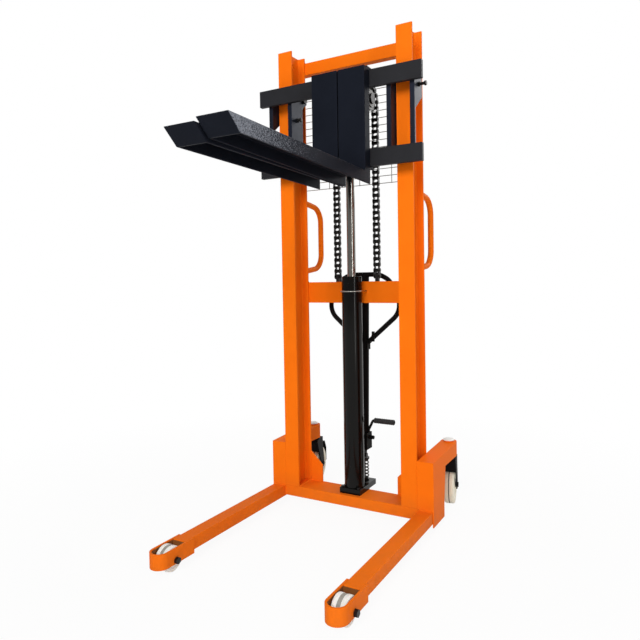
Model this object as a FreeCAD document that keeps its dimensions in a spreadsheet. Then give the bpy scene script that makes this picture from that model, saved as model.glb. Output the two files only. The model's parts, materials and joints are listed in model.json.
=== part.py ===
# Hand pallet stacker. Two I-section masts stand on a straddle base with front wheels and rear castors.
# A hydraulic ram lifts a fork carriage by two chains, and a tiller or foot pedal works its pump.
# Frame: X across, forks and legs towards -Y, Z up, floor at zero. It is drawn with the forks fully raised.
import FreeCAD, Part
import math
import os
import re
import Sketcher
from FreeCAD import Placement, Rotation, Vector

# An edge counts as upright when this share of it points along Z.
upright_share = 0.9

# Driving dimensions in millimetres, with angles in degrees and plain counts where the name says so.
sizes = {
    # Fits and cuts
    "overrun": 10, "running_fit": 0.05, "slack": 0.4, "seat_gap": 0.3, "side_play": 0.5,
    # Masts
    "mast_front": 251, "mast_height": 2071.5, "mast_spacing": 572, "mast_width": 70, "mast_depth": 120,
    "mast_flange": 9, "mast_web": 6, "mast_root": 8, "web_hole": 11, "web_hole_drop": 48,
    # Base cross-member and its gussets
    "base_top": 93.5, "base_height": 48, "base_wall": 5,
    "gusset_width": 62, "gusset_height": 138, "gusset_corner": 60, "gusset_thick": 8,
    # Straddle legs and nose straps
    "leg_gap": 6, "leg_width": 60, "leg_top": 88.5, "leg_height": 49, "leg_wall": 5, "leg_clear": 10,
    "nose_wall": 8, "nose_lap": 40, "nose_front": 805, "nose_height": 57,
    # Front wheels
    "wheel_radius": 45.5, "wheel_width": 50, "wheel_inset": 78, "wheel_edge": 5, "wheel_groove": 3,
    "wheel_groove_half": 5, "axle_radius": 8, "axle_head": 13, "axle_head_height": 12.5, "washer_radius": 17,
    # Castor brackets
    "bracket_wall": 5, "bracket_top": 291, "bracket_rise": 14.5, "box_depth": 140, "neck_start": 158,
    "neck_bottom": 237.5, "kingpin_reach": 316, "skirt_bottom": 24.5, "bush_radius": 20, "bush_stand": 2,
    "cap_radius": 25, "cap_height": 8,
    # Castors
    "left_swivel_angle": 12, "right_swivel_angle": 12, "castor_trail": 58, "castor_radius": 86,
    "castor_width": 46, "castor_edge": 8, "kingpin_radius": 12, "yoke_head": 33, "yoke_head_height": 9,
    "yoke_plate": 6, "yoke_wall": 5, "yoke_gap": 5, "yoke_front": 30, "yoke_back": 56, "yoke_foot": 16,
    "apron_share": 0.38,
    "castor_axle": 8, "castor_nut": 12, "castor_nut_height": 4, "brake_pin": 5, "brake_hub": 9,
    "brake_back": 44, "brake_drop": 20, "brake_half": 17, "brake_thick": 5, "brake_reach": 102.1,
    "brake_shoulder": 176.5, "brake_knee": 141.5, "brake_tip": 71.5, "brake_elbow": 82,
    # Cross-beams behind the masts
    "beam_lap": 14, "beam_height": 96, "beam_depth": 48, "beam_wall": 6,
    "head_drop": 20, "head_height": 56, "head_depth": 38, "head_wall": 5,
    # Mesh guard
    "mesh_back": 43, "mesh_drop": 604, "mesh_pitch": 32.3, "mesh_rows": 15, "mesh_step": 157,
    "mesh_wire": 4, "mesh_stay": 6,
    # Push handles
    "grip_top": 1414, "grip_bottom": 1080, "grip_reach": 184, "grip_slope": 24, "grip_tube": 13,
    "grip_bend": 75,
    # Lift cylinder, its foot and clamp
    "ram_back": 71, "barrel_radius": 45, "barrel_bore": 39, "gland_over": 23, "gland_height": 30,
    "foot_half": 50, "foot_height": 25, "foot_bolt": 5, "foot_bolt_head": 9, "foot_bolt_height": 7,
    "foot_bolt_inset": 11, "clamp_below": 42, "clamp_rod": 3, "clamp_tail": 12, "clamp_nut": 7,
    "clamp_nut_height": 6, "saddle_half": 28, "saddle_half_height": 18, "saddle_wrap": 12,
    # Ram, crosshead and sheaves
    "sheave_drop": 254, "rod_radius": 19, "piston_gap": 48, "piston_height": 45, "crosshead_half_depth": 22,
    "crosshead_half_height": 28, "sheave_axle": 15, "sheave_half": 7, "sheave_hub": 36, "sheave_hub_half": 11,
    "collar_radius": 22, "collar_width": 6,
    # Chains
    "chain_pitch": 25.4, "chain_centre": 98, "rear_links": 30, "wrap_links": 7, "front_links": 10,
    "link_roller": 7.9, "link_inner": 15.2, "link_plate": 3.2, "link_height": 22.5, "link_waist": 16,
    "link_pin": 4, "link_play": 0.3, "link_pin_end": 1.5,
    "lug_pin_height": 24, "lug_half": 7, "lug_margin": 11.5,
    # Carriage
    "bar_end": 36, "bar_standoff": 64, "bar_thick": 20, "bar_height": 71, "bar_pitch": 320,
    "anchor_over": 62,
    "plate_thick": 20, "plate_gap": 5, "plate_drop": 24, "plate_rise": 70,
    "plate_mid": 50, "plate_ear": 86, "ear_height": 46, "ear_slope": 20, "wing_narrow": 12, "wing_wide": 43,
    "wing_low": 105, "wing_high": 45, "roller_inset": 29, "roller_radius": 50, "roller_width": 22,
    "roller_edge": 3, "roller_axle": 12, "roller_head": 18, "roller_head_height": 10, "roller_collar": 18,
    "guide_bolt": 6, "guide_head": 10, "guide_head_height": 8, "guide_out": 25, "guide_in": 14,
    "guide_under": 3, "guide_fall": 63,
    # Forks
    "fork_width": 120, "fork_space": 4, "fork_shift": 39, "fork_depth": 50, "fork_wall": 8, "fork_over": 4,
    "fork_under": 73, "left_rise": 21, "right_rise": 32, "heel_weld": 8, "fork_reach": 983,
    "fork_bevel": 55, "hook_height": 10, "hook_lip": 12, "hook_drop": 16, "hook_root": 20,
    # Hand pump
    "pump_left": 45, "pump_right": 46, "pump_depth": 78, "pump_height": 24, "pump_inset": 44,
    "pump_stub": 18, "pump_stub_height": 14, "plunger_radius": 10, "plunger_dip": 13, "cap_disc": 27,
    "cap_disc_height": 8, "pump_floor": 4,
    "spring_height": 97, "spring_radius": 25.5, "spring_wire": 6.4, "spring_coils": 6,
    # Rocker, foot pedal and tiller
    "pivot_off": 24, "pivot_lift": 4.7, "pivot_pin": 6, "pin_head": 11, "pin_head_height": 8,
    "ear_gap_half": 14, "ear_thick": 8, "ear_half": 13, "rocker_hub": 12, "cheek_half": 13.5,
    "cheek_thick": 4.5, "press_roller": 14, "press_roller_half": 8.5, "press_pin": 4,
    "block_half": 28, "block_front": 8, "block_back": 60, "block_low": 20, "block_high": 95,
    "set_screw": 9, "set_screw_out": 22, "set_screw_drop": 21,
    "pedal_rod": 6, "pedal_start": 110, "pedal_rise": 153, "pedal_out": 47, "pedal_end": 152,
    "pedal_bend": 12, "pedal_grip": 12.5, "pedal_grip_gap": 6,
    "tiller_off": 35, "tiller_rise": 50, "tiller_lean_angle": 2, "tiller_radius": 22, "tiller_bore": 18,
    "tiller_length": 436, "loop_tube": 11, "loop_reach": 336, "loop_half": 192, "loop_drop": 160,
    "loop_shoulder": 126, "loop_slope": 26, "loop_top_half": 74, "loop_bend": 80,
    "knuckle_half": 24, "knuckle_half_depth": 16, "knuckle_height": 34,
    "lever_pin": 4, "lever_out": 52, "lever_hub": 8, "lever_length": 46, "lever_half": 6, "lever_thick": 8,
    "lever_head": 7, "lever_head_height": 3,
}

doc = FreeCAD.newDocument("HandPalletStacker")
sheet = doc.addObject("Spreadsheet::Sheet", "Sizes")
for row, (alias, number) in enumerate(sizes.items(), 1):
    sheet.set(f"A{row}", alias)
    sheet.set(f"B{row}", str(number))
    sheet.setAlias(f"B{row}", alias)
doc.recompute()

nodes = []
sides = (("left", "-1"), ("right", "1"))


def size(alias):
    """The number in the sheet's cell of that name."""
    return float(sheet.get(alias))


def formula(text):
    """Names of sizes in a formula become references to the sheet."""
    return re.sub(r"[a-z_]+", lambda word: "Sizes." + word[0] if word[0] in sizes else word[0], text)


def bind(item, prop, text):
    item.setExpression(prop, formula(text))


def place(item, x, y, z):
    bind(item, "Placement.Base.x", x)
    bind(item, "Placement.Base.y", y)
    bind(item, "Placement.Base.z", z)
    return item


def turn(item, axis, angle):
    """Turn an item about its own origin by a formula in degrees."""
    item.Placement = Placement(item.Placement.Base, Rotation(Vector(*axis), 1))
    bind(item, "Placement.Rotation.Angle", angle)
    return item


def keep(item, label):
    """An item that is a whole sub-part gets the sub-part's name."""
    item.Label = label
    nodes.append(item)
    return item


def box(x, y, z):
    """A box from three pairs of formulas."""
    item = doc.addObject("Part::Box", "Block")
    for prop, (low, high) in zip(("Length", "Width", "Height"), (x, y, z)):
        bind(item, prop, f"({high}) - ({low})")
    return place(item, x[0], y[0], z[0])


def across(sign, low, high):
    """A span of X on the right side, or its mirror image on the left."""
    return (low, high) if sign == "1" else (f"-({high})", f"-({low})")


def aligned(item, axis, span, first, second):
    """Lay an item that is drawn along Z on another axis, from the start of a span."""
    turns = {"x": Rotation(Vector(0, 1, 0), 90), "y": Rotation(Vector(1, 0, 0), -90), "z": Rotation()}
    item.Placement = Placement(Vector(), turns[axis])
    bind(item, "Height", f"({span[1]}) - ({span[0]})")
    spots = {"x": (span[0], first, second), "y": (first, span[0], second), "z": (first, second, span[0])}
    return place(item, *spots[axis])


def rod(axis, span, first, second, radius):
    """A cylinder along an axis, centred on its two other coordinates."""
    item = doc.addObject("Part::Cylinder", "Rod")
    bind(item, "Radius", radius)
    return aligned(item, axis, span, first, second)


def hexagon(axis, span, first, second, radius):
    """A hexagonal bolt head or nut blank along an axis."""
    item = doc.addObject("Part::Prism", "Hexagon")
    item.Polygon = 6
    bind(item, "Circumradius", radius)
    return aligned(item, axis, span, first, second)


def fuse(*items):
    item = doc.addObject("Part::MultiFuse", "Joined")
    item.Shapes = list(items)
    item.Refine = True
    return item


def cut(base, *tools):
    for tool in tools:
        item = doc.addObject("Part::Cut", "Trimmed")
        item.Base = base
        item.Tool = tool
        base = item
    return base


def common(first, second):
    item = doc.addObject("Part::Common", "Shared")
    item.Base = first
    item.Tool = second
    return item


def group(*items):
    """Separate solids that share one sub-part."""
    item = doc.addObject("Part::Compound", "Group")
    item.Links = list(items)
    return item


def tube(axis, span, first, second, radius, bore):
    past = (f"{span[0]} - overrun", f"{span[1]} + overrun")
    return cut(rod(axis, span, first, second, radius), rod(axis, past, first, second, bore))


def outlined(plane, points):
    """A body with a sketched outline whose corners are formulas."""
    body = doc.addObject("PartDesign::Body", "Shape")
    support = next(item for item in body.Origin.OriginFeatures if item.Role == plane)
    sketch = body.newObject("Sketcher::SketchObject", "Outline")
    sketch.AttachmentSupport = [(support, "")]
    sketch.MapMode = "FlatFace"
    count = len(points)
    corners = [Vector(math.cos(math.tau * n / count), math.sin(math.tau * n / count)) for n in range(count)]
    for number in range(count):
        sketch.addGeometry(Part.LineSegment(corners[number], corners[(number + 1) % count]), False)
    for number in range(count):
        sketch.addConstraint(Sketcher.Constraint("Coincident", number, 2, (number + 1) % count, 1))
    for number, point in enumerate(points):
        for kind, text, start in zip(("DistanceX", "DistanceY"), point, corners[number]):
            index = sketch.addConstraint(Sketcher.Constraint(kind, -1, 1, number, 1, start))
            sketch.setExpression(f"Constraints[{index}]", formula(text))
    return body, sketch


def pad(plane, points, length):
    body, sketch = outlined(plane, points)
    feature = body.newObject("PartDesign::Pad", "Thickness")
    feature.Profile = sketch
    bind(feature, "Length", length)
    return body


def side_plate(points, x):
    """A plate in a plane across X, from points in Y and Z, over a span of X."""
    return place(pad("YZ_Plane", points, f"({x[1]}) - ({x[0]})"), x[0], "0", "0")


def turned(points, axis):
    """A ring turned about the X axis (H_Axis) or the Z axis (V_Axis) from a half section."""
    body, sketch = outlined("XZ_Plane", points)
    feature = body.newObject("PartDesign::Revolution", "Turned")
    feature.Profile = sketch
    feature.ReferenceAxis = (sketch, [axis])
    feature.Angle = 360
    return body


def wheel_section(half, radius, bore, edge):
    """Half section of a roller with chamfered edges, along X."""
    return [(f"-{half}", bore), (f"{half}", bore), (f"{half}", f"{radius} - {edge}"),
            (f"{half} - {edge}", radius), (f"-{half} + {edge}", radius), (f"-{half}", f"{radius} - {edge}")]


def shaped(shape):
    """A shape of its own, for bent rods, springs and chains."""
    item = doc.addObject("Part::Feature", "Form")
    item.Shape = shape
    return item


def bent_path(points, bend):
    """Straight runs joined by tangent arcs of one radius."""
    edges = []
    start = points[0]
    for before, corner, after in zip(points, points[1:], points[2:]):
        back = (before - corner).normalize()
        ahead = (after - corner).normalize()
        half = back.getAngle(ahead) / 2
        trim = bend / math.tan(half)
        middle = (back + ahead).normalize()
        apex = corner + middle * (bend / math.sin(half) - bend)
        edges.append(Part.LineSegment(start, corner + back * trim).toShape())
        edges.append(Part.Arc(corner + back * trim, apex, corner + ahead * trim).toShape())
        start = corner + ahead * trim
    edges.append(Part.LineSegment(start, points[-1]).toShape())
    return Part.Wire(edges)


def swept(path, radius):
    """A round bar along a path."""
    first = path.Edges[0]
    ring = Part.Circle(first.valueAt(first.FirstParameter), first.tangentAt(first.FirstParameter), radius)
    shell = Part.BRepOffsetAPI.MakePipeShell(path)
    shell.add(Part.Wire([ring.toShape()]))
    shell.build()
    shell.makeSolid()
    return shell.shape()


# Places that many pieces share, as formulas.
mast_back = "(mast_front + mast_depth)"
mast_side = "(mast_spacing / 2 + mast_width / 2)"
mast_edge = "(mast_spacing / 2 - mast_width / 2)"
ram_y = "(mast_front + ram_back)"
chain_radius = "(chain_pitch / (2 * sin(90 / wrap_links)))"
sheave_z = "(mast_height - sheave_drop)"
# The rear chains end in lugs on the middle beam, and the cylinder stands just above that beam.
beam_top = f"({sheave_z} - rear_links * chain_pitch - lug_pin_height)"
gland_top = f"({beam_top} + gland_over)"
bar_front = "(mast_front - bar_standoff)"
bar_back = "(mast_front - bar_standoff + bar_thick)"
wheel_y = "(mast_front - nose_front + wheel_inset)"
leg_inner = f"({mast_side} + leg_gap)"
leg_outer = f"({leg_inner} + leg_width)"
leg_centre = f"({leg_inner} + leg_width / 2)"
base_bottom = "(base_top - base_height)"
kingpin_x = f"(({mast_side} + {leg_outer} + bracket_wall) / 2)"
kingpin_y = "(mast_front + kingpin_reach)"
bush_top = "(bracket_top + bracket_rise + bush_stand)"
beam_half = "(mast_spacing / 2 + beam_lap)"
clamp_height = f"({beam_top} - clamp_below)"
inner_plate = f"({mast_edge} - plate_gap - plate_thick)"
outer_plate = f"({mast_side} + plate_gap)"
bar_half = f"({outer_plate} + plate_thick + bar_end)"
# The carriage hangs on the ends of the chains.
anchor_z = f"({sheave_z} - front_links * chain_pitch)"
lower_bar = f"({anchor_z} - anchor_over)"
upper_bar = f"({lower_bar} + bar_pitch)"
plate_bottom = f"({lower_bar} + plate_drop)"
plate_top = f"({upper_bar} + plate_rise)"
# The hand pump stands behind the cylinder's foot, and the rocker's pivot is above it.
pump_front = f"({ram_y} + foot_half)"
pump_y = f"({pump_front} + pump_inset)"
pump_top = "(base_top + pump_height)"
disc_low = f"({pump_top} + spring_height)"
roller_z = f"({disc_low} + cap_disc_height + seat_gap + press_roller)"
pivot_y = f"({ram_y} + barrel_radius + pivot_off)"
pivot_z = f"({roller_z} + pivot_lift)"
tiller_y = f"({pivot_y} + tiller_off)"
tiller_z = f"({pivot_z} + tiller_rise)"


# Masts: rolled I-sections with filleted roots, standing on the cross-member.
def mast(side, sign):
    half = "mast_width / 2"
    web = "mast_web / 2"
    near = "mast_flange"
    far = "(mast_depth - mast_flange)"
    right = [(half, "0"), (half, near), (web, near), (web, far), (half, far), (half, "mast_depth")]
    left = [(f"-({x})", y) for x, y in reversed(right)]
    body = pad("XY_Plane", right + left, "mast_height - base_top")
    doc.recompute()
    section = body.Tip
    roots = []
    for number, edge in enumerate(section.Shape.Edges, 1):
        middle = edge.CenterOfMass
        upright = abs(edge.tangentAt(edge.FirstParameter).z) > upright_share
        inner = abs(abs(middle.x) - size("mast_web") / 2) < size("running_fit")
        if upright and inner:
            roots.append(f"Edge{number}")
    fillet = body.newObject("PartDesign::Fillet", "Roots")
    fillet.Base = (section, roots)
    bind(fillet, "Radius", "mast_root")
    place(body, f"{sign} * mast_spacing / 2", "mast_front", "base_top")
    hole = rod("x", across(sign, mast_edge, mast_side), "mast_front + mast_depth / 2",
               "mast_height - web_hole_drop", "web_hole")
    keep(cut(body, hole), f"mast_{side}")


# Channels lapped on the rear of the masts, open to the rear.
def channel(top, height, depth, wall):
    inside_y = (f"{mast_back} + {wall}", f"{mast_back} + {depth} + overrun")
    inside_z = (f"{top} - {height} + {wall}", f"{top} - {wall}")
    outside_y = (mast_back, f"{mast_back} + {depth}")
    whole = box((f"-{beam_half}", beam_half), outside_y, (f"{top} - {height}", top))
    return cut(whole, box((f"-{beam_half} - overrun", f"{beam_half} + overrun"), inside_y, inside_z))


def crossbeams():
    keep(channel("mast_height - head_drop", "head_height", "head_depth", "head_wall"), "top_crossbeam")
    through = (f"{mast_back} - overrun", f"{mast_back} + beam_wall + overrun")
    leg = "(barrel_radius + seat_gap + clamp_rod)"
    holes = [rod("y", through, f"{sign} * {leg}", clamp_height, "clamp_rod + slack") for _, sign in sides]
    keep(cut(channel(beam_top, "beam_height", "beam_depth", "beam_wall"), *holes), "middle_crossbeam")


def base():
    outer = box((f"-{leg_inner}", leg_inner), ("mast_front", mast_back), (base_bottom, "base_top"))
    inner = box((f"-{leg_inner} - overrun", f"{leg_inner} + overrun"),
                ("mast_front + base_wall", f"{mast_back} - base_wall"),
                (f"{base_bottom} + base_wall", "base_top - base_wall"))
    # The brackets stand on the legs, so the ends of the cross-member are stepped down under them.
    past = ("mast_front - overrun", f"{mast_back} + overrun")
    steps = [box(across(sign, mast_side, f"{leg_inner} + overrun"), past, ("leg_top", "leg_top + base_top"))
             for _, sign in sides]
    keep(cut(outer, inner, *steps), "base_crossmember")
    plates = []
    for _, sign in sides:
        foot = f"{sign} * ({mast_edge} - gusset_width)"
        root = f"{sign} * {mast_edge}"
        top = "base_top + gusset_height"
        points = [(root, "base_top"), (root, top), (foot, "base_top + gusset_height - gusset_corner"),
                  (foot, "base_top")]
        plates.append(place(pad("XZ_Plane", points, "gusset_thick"), "0", mast_back, "0"))
    keep(group(*plates), "base_gussets")


def legs():
    tubes = []
    straps = []
    front = f"({wheel_y} + wheel_radius + leg_clear)"
    for _, sign in sides:
        height = ("leg_top - leg_height", "leg_top")
        outer = box(across(sign, leg_inner, leg_outer), (front, mast_back), height)
        inner = box(across(sign, f"{leg_inner} + leg_wall", f"{leg_outer} - leg_wall"),
                    (f"{front} + leg_wall", f"{mast_back} + overrun"),
                    ("leg_top - leg_height + leg_wall", "leg_top - leg_wall"))
        tubes.append(cut(outer, inner))
        centre = f"{sign} * {leg_centre}"
        middle = "(mast_front - nose_front + leg_width / 2 + nose_wall)"
        rear = f"{front} + nose_lap"
        span = ("leg_top - nose_height", "leg_top")
        past = ("leg_top - nose_height - overrun", "leg_top + overrun")
        width = across(sign, f"{leg_inner} - nose_wall", f"{leg_outer} + nose_wall")
        skin = fuse(box(width, (middle, rear), span),
                    rod("z", span, centre, middle, "leg_width / 2 + nose_wall"))
        void = fuse(box(across(sign, leg_inner, leg_outer), (middle, f"{rear} + overrun"), past),
                    rod("z", past, centre, middle, "leg_width / 2"))
        through = across(sign, f"{leg_inner} - nose_wall - overrun", f"{leg_outer} + nose_wall + overrun")
        straps.append(cut(skin, void, rod("x", through, wheel_y, "wheel_radius", "axle_radius + slack")))
    keep(group(*tubes), "straddle_legs")
    keep(group(*straps), "nose_straps")


def front_wheels():
    bolts = []
    for side, sign in sides:
        groove = "wheel_groove_half"
        half = "wheel_width / 2"
        section = [(f"-{half}", "axle_radius + running_fit"), (half, "axle_radius + running_fit"),
                   (half, "wheel_radius - wheel_edge"), (f"{half} - wheel_edge", "wheel_radius"),
                   (groove, "wheel_radius"), ("0", "wheel_radius - wheel_groove"),
                   (f"-{groove}", "wheel_radius"), (f"-{half} + wheel_edge", "wheel_radius"),
                   (f"-{half}", "wheel_radius - wheel_edge")]
        wheel = turned(section, "H_Axis")
        keep(place(wheel, f"{sign} * {leg_centre}", wheel_y, "wheel_radius"), f"front_wheel_{side}")
        # Both bolt heads face the same way, so the bolt is not mirrored.
        near = f"{sign} * {leg_centre} - leg_width / 2 - nose_wall"
        far = f"{sign} * {leg_centre} + leg_width / 2 + nose_wall"
        spot = (wheel_y, "wheel_radius")
        shank = rod("x", (f"{near} - axle_head_height", far), *spot, "axle_radius")
        head = hexagon("x", (far, f"{far} + axle_head_height"), *spot, "axle_head")
        nut = cut(hexagon("x", (f"{near} - axle_head_height", near), *spot, "axle_head"),
                  rod("x", (f"{near} - axle_head_height - overrun", f"{near} + overrun"), *spot,
                      "axle_radius + running_fit"))
        bolts += [fuse(shank, head), nut]
        for end in ("-1", "1"):
            inner = f"{sign} * {leg_centre} + {end} * (wheel_width / 2 + side_play)"
            outer = f"{sign} * {leg_centre} + {end} * leg_width / 2"
            span = (inner, outer) if end == "1" else (outer, inner)
            bolts.append(tube("x", span, *spot, "washer_radius", "axle_radius + running_fit"))
    keep(group(*bolts), "front_axles")


# Gooseneck brackets: a hollow box beside each mast that reaches back over the castor.
def bracket_block(sign, wall):
    """The bracket's outer block, or with a wall the space inside it."""
    low = f"({mast_side} + {wall})"
    high = f"({leg_outer} + bracket_wall - {wall})"
    end = f"({kingpin_y} + overrun + mast_width)"
    floor = "leg_top" if wall == "0" else "leg_top - overrun"
    points = [(f"mast_front + {wall}", floor), (f"mast_front + box_depth - {wall}", floor),
              (f"mast_front + neck_start - {wall}", f"neck_bottom + {wall}"), (end, f"neck_bottom + {wall}"),
              (end, f"bracket_top + bracket_rise - {wall}"),
              (f"mast_front + {wall}", f"bracket_top - {wall}")]
    profile = side_plate(points, across(sign, low, high))
    tall = ("skirt_bottom - overrun", "bracket_top + bracket_rise + overrun")
    plan = fuse(box(across(sign, low, high), ("mast_front - overrun", kingpin_y), tall),
                rod("z", tall, f"{sign} * ({low} + {high}) / 2", kingpin_y, f"({high} - {low}) / 2"))
    return common(profile, plan)


def castor_brackets():
    caps = []
    for side, sign in sides:
        spot = (f"{sign} * {kingpin_x}", kingpin_y)
        shell = cut(bracket_block(sign, "0"), bracket_block(sign, "bracket_wall"))
        skirt = box(across(sign, leg_outer, f"{leg_outer} + bracket_wall"),
                    ("mast_front", "mast_front + box_depth"), ("skirt_bottom", "leg_top + bracket_wall"))
        bush = rod("z", ("neck_bottom", bush_top), *spot, "bush_radius")
        through = ("neck_bottom - overrun", f"{bush_top} + overrun")
        bore = rod("z", through, *spot, "kingpin_radius + running_fit")
        keep(cut(fuse(shell, skirt, bush), bore), f"castor_bracket_{side}")
        caps.append(rod("z", (bush_top, f"{bush_top} + cap_height"), *spot, "cap_radius"))
    keep(group(*caps), "kingpin_caps")


# Castors are drawn about their own kingpin with the wheel trailing straight back, then swivelled and placed.
def castor(side, sign):
    swivel = f"{side}_swivel_angle"

    def settle(item, label):
        turn(item, (0, 0, 1), swivel)
        keep(place(item, f"{sign} * {kingpin_x}", kingpin_y, "0"), label)

    head_top = "(neck_bottom - seat_gap)"
    head_low = f"({head_top} - yoke_head_height)"
    plate_low = f"({head_low} - yoke_plate)"
    inner = "(castor_width / 2 + yoke_gap)"
    outer = "(castor_width / 2 + yoke_gap + yoke_wall)"
    axle = ("castor_trail", "castor_radius")
    brake = ("brake_back", f"{plate_low} - brake_drop")
    head = rod("z", (head_low, head_top), "0", "0", "yoke_head")
    pin = rod("z", (head_low, f"{bush_top} - seat_gap"), "0", "0", "kingpin_radius")
    plate = box((f"-{outer}", outer), ("-yoke_front", "yoke_back"), (plate_low, head_low))
    cheek_low = f"({plate_low} - yoke_plate)"
    cheek = [("-yoke_front", head_low), ("-yoke_front", cheek_low),
             ("castor_trail - yoke_foot", "castor_radius - yoke_foot"),
             ("castor_trail + yoke_foot", "castor_radius - yoke_foot"),
             ("castor_trail + yoke_foot", "castor_radius + yoke_foot"),
             ("yoke_back", f"{plate_low} - brake_drop - brake_hub"), ("yoke_back", head_low)]
    cheeks = [side_plate(cheek, across(end, inner, outer)) for end in ("-1", "1")]
    # An apron closes the front of the fork along the cheeks' edges and stops short of the wheel.
    apron_y = "(-yoke_front + (castor_trail - yoke_foot + yoke_front) * apron_share)"
    apron_z = f"({cheek_low} + (castor_radius - yoke_foot - {cheek_low}) * apron_share)"
    apron = side_plate([("-yoke_front", plate_low), ("-yoke_front", cheek_low), (apron_y, apron_z),
                        (f"{apron_y} + yoke_wall", apron_z), ("-yoke_front + yoke_wall", cheek_low),
                        ("-yoke_front + yoke_wall", plate_low)], (f"-{outer}", outer))
    wide = (f"-{outer} - overrun", f"{outer} + overrun")
    yoke = cut(fuse(head, pin, plate, apron, *cheeks), rod("x", wide, *axle, "castor_axle + slack"),
               rod("x", wide, *brake, "brake_pin + slack"))
    bolt = rod("x", (f"-{outer}", outer), *axle, "castor_axle")
    ends = [hexagon("x", across(end, outer, f"{outer} + castor_nut_height"), *axle, "castor_nut")
            for end in ("-1", "1")]
    spacers = [tube("x", across(end, "castor_width / 2 + side_play", inner), *axle, "castor_nut",
                    "castor_axle + running_fit") for end in ("-1", "1")]
    hinge = rod("x", (f"-{outer}", outer), *brake, "brake_pin")
    settle(group(yoke, fuse(bolt, *ends), *spacers, hinge), f"castor_yoke_{side}")

    section = wheel_section("castor_width / 2", "castor_radius", "castor_axle + running_fit", "castor_edge")
    wheel = turned(section, "H_Axis")
    # The wheel's own origin is its centre, so its place follows the swivel.
    turn(wheel, (0, 0, 1), swivel)
    place(wheel, f"{sign} * {kingpin_x} - castor_trail * sin({swivel})",
          f"{kingpin_y} + castor_trail * cos({swivel})", "castor_radius")
    keep(wheel, f"castor_wheel_{side}")

    back = "castor_trail + brake_reach"
    elbow = "castor_trail + brake_elbow"
    bend = [("brake_back", f"{brake[1]} + brake_thick"), (elbow, "brake_shoulder + brake_thick"),
            (f"{back} + brake_thick", "brake_knee"), (f"{back} + brake_thick", "brake_tip"),
            (back, "brake_tip"), (back, "brake_knee"), (f"{elbow} - brake_thick / 2", "brake_shoulder"),
            ("brake_back", f"{brake[1]} - brake_thick")]
    span = ("-brake_half", "brake_half")
    lever = fuse(rod("x", span, *brake, "brake_hub"), side_plate(bend, span))
    bore = rod("x", ("-brake_half - overrun", "brake_half + overrun"), *brake, "brake_pin + running_fit")
    settle(cut(lever, bore), f"brake_pedal_{side}")


def mesh_guard():
    near = f"({mast_back} + mesh_back)"
    depth = (near, f"{near} + mesh_wire")
    half = "mesh_wire / 2"
    edge = f"mast_spacing / 2 + {half}"
    low = "(mast_height - mesh_drop)"
    top = f"({low} + (mesh_rows - 1) * mesh_pitch)"
    upright = (f"{low} - {half}", f"{top} + {half}")
    wires = []
    for row in range(int(size("mesh_rows"))):
        level = f"{low} + {row} * mesh_pitch"
        wires.append(box((f"-({edge})", edge), depth, (f"{level} - {half}", f"{level} + {half}")))
    for column in ("-mast_spacing / 2", "-mesh_step", "0", "mesh_step", "mast_spacing / 2"):
        wires.append(box((f"{column} - {half}", f"{column} + {half}"), depth, upright))
    keep(fuse(*wires), "mesh_guard")
    stays = [rod("y", (mast_back, near), f"{sign} * mast_spacing / 2", level, "mesh_stay")
             for _, sign in sides for level in (f"{low} + mesh_pitch / 2", f"{top} - mesh_pitch / 2")]
    keep(group(*stays), "mesh_stays")


def push_handles():
    # The arms start inside the mast and are cut flush with its back.
    start = Vector(0, -size("grip_tube"), 0)
    lean = size("grip_slope") / size("grip_reach")
    inward = Vector(0, 0, size("grip_tube") * lean)
    low = Vector(0, 0, size("grip_bottom"))
    high = Vector(0, 0, size("grip_top"))
    out = Vector(0, size("grip_reach"), 0)
    slope = Vector(0, 0, size("grip_slope"))
    corners = [low + start - inward, low + out + slope, high + out - slope, high + start + inward]
    bar = swept(bent_path(corners, size("grip_bend")), size("grip_tube"))
    handles = []
    for _, sign in sides:
        middle = f"{sign} * mast_spacing / 2"
        bent = place(shaped(bar), middle, mast_back, "0")
        inside = box((f"{middle} - 2 * grip_tube", f"{middle} + 2 * grip_tube"),
                     (f"{mast_back} - 2 * grip_tube", mast_back),
                     ("grip_bottom - grip_bend", "grip_top + grip_bend"))
        handles.append(cut(bent, inside))
    keep(group(*handles), "push_handles")


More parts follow.
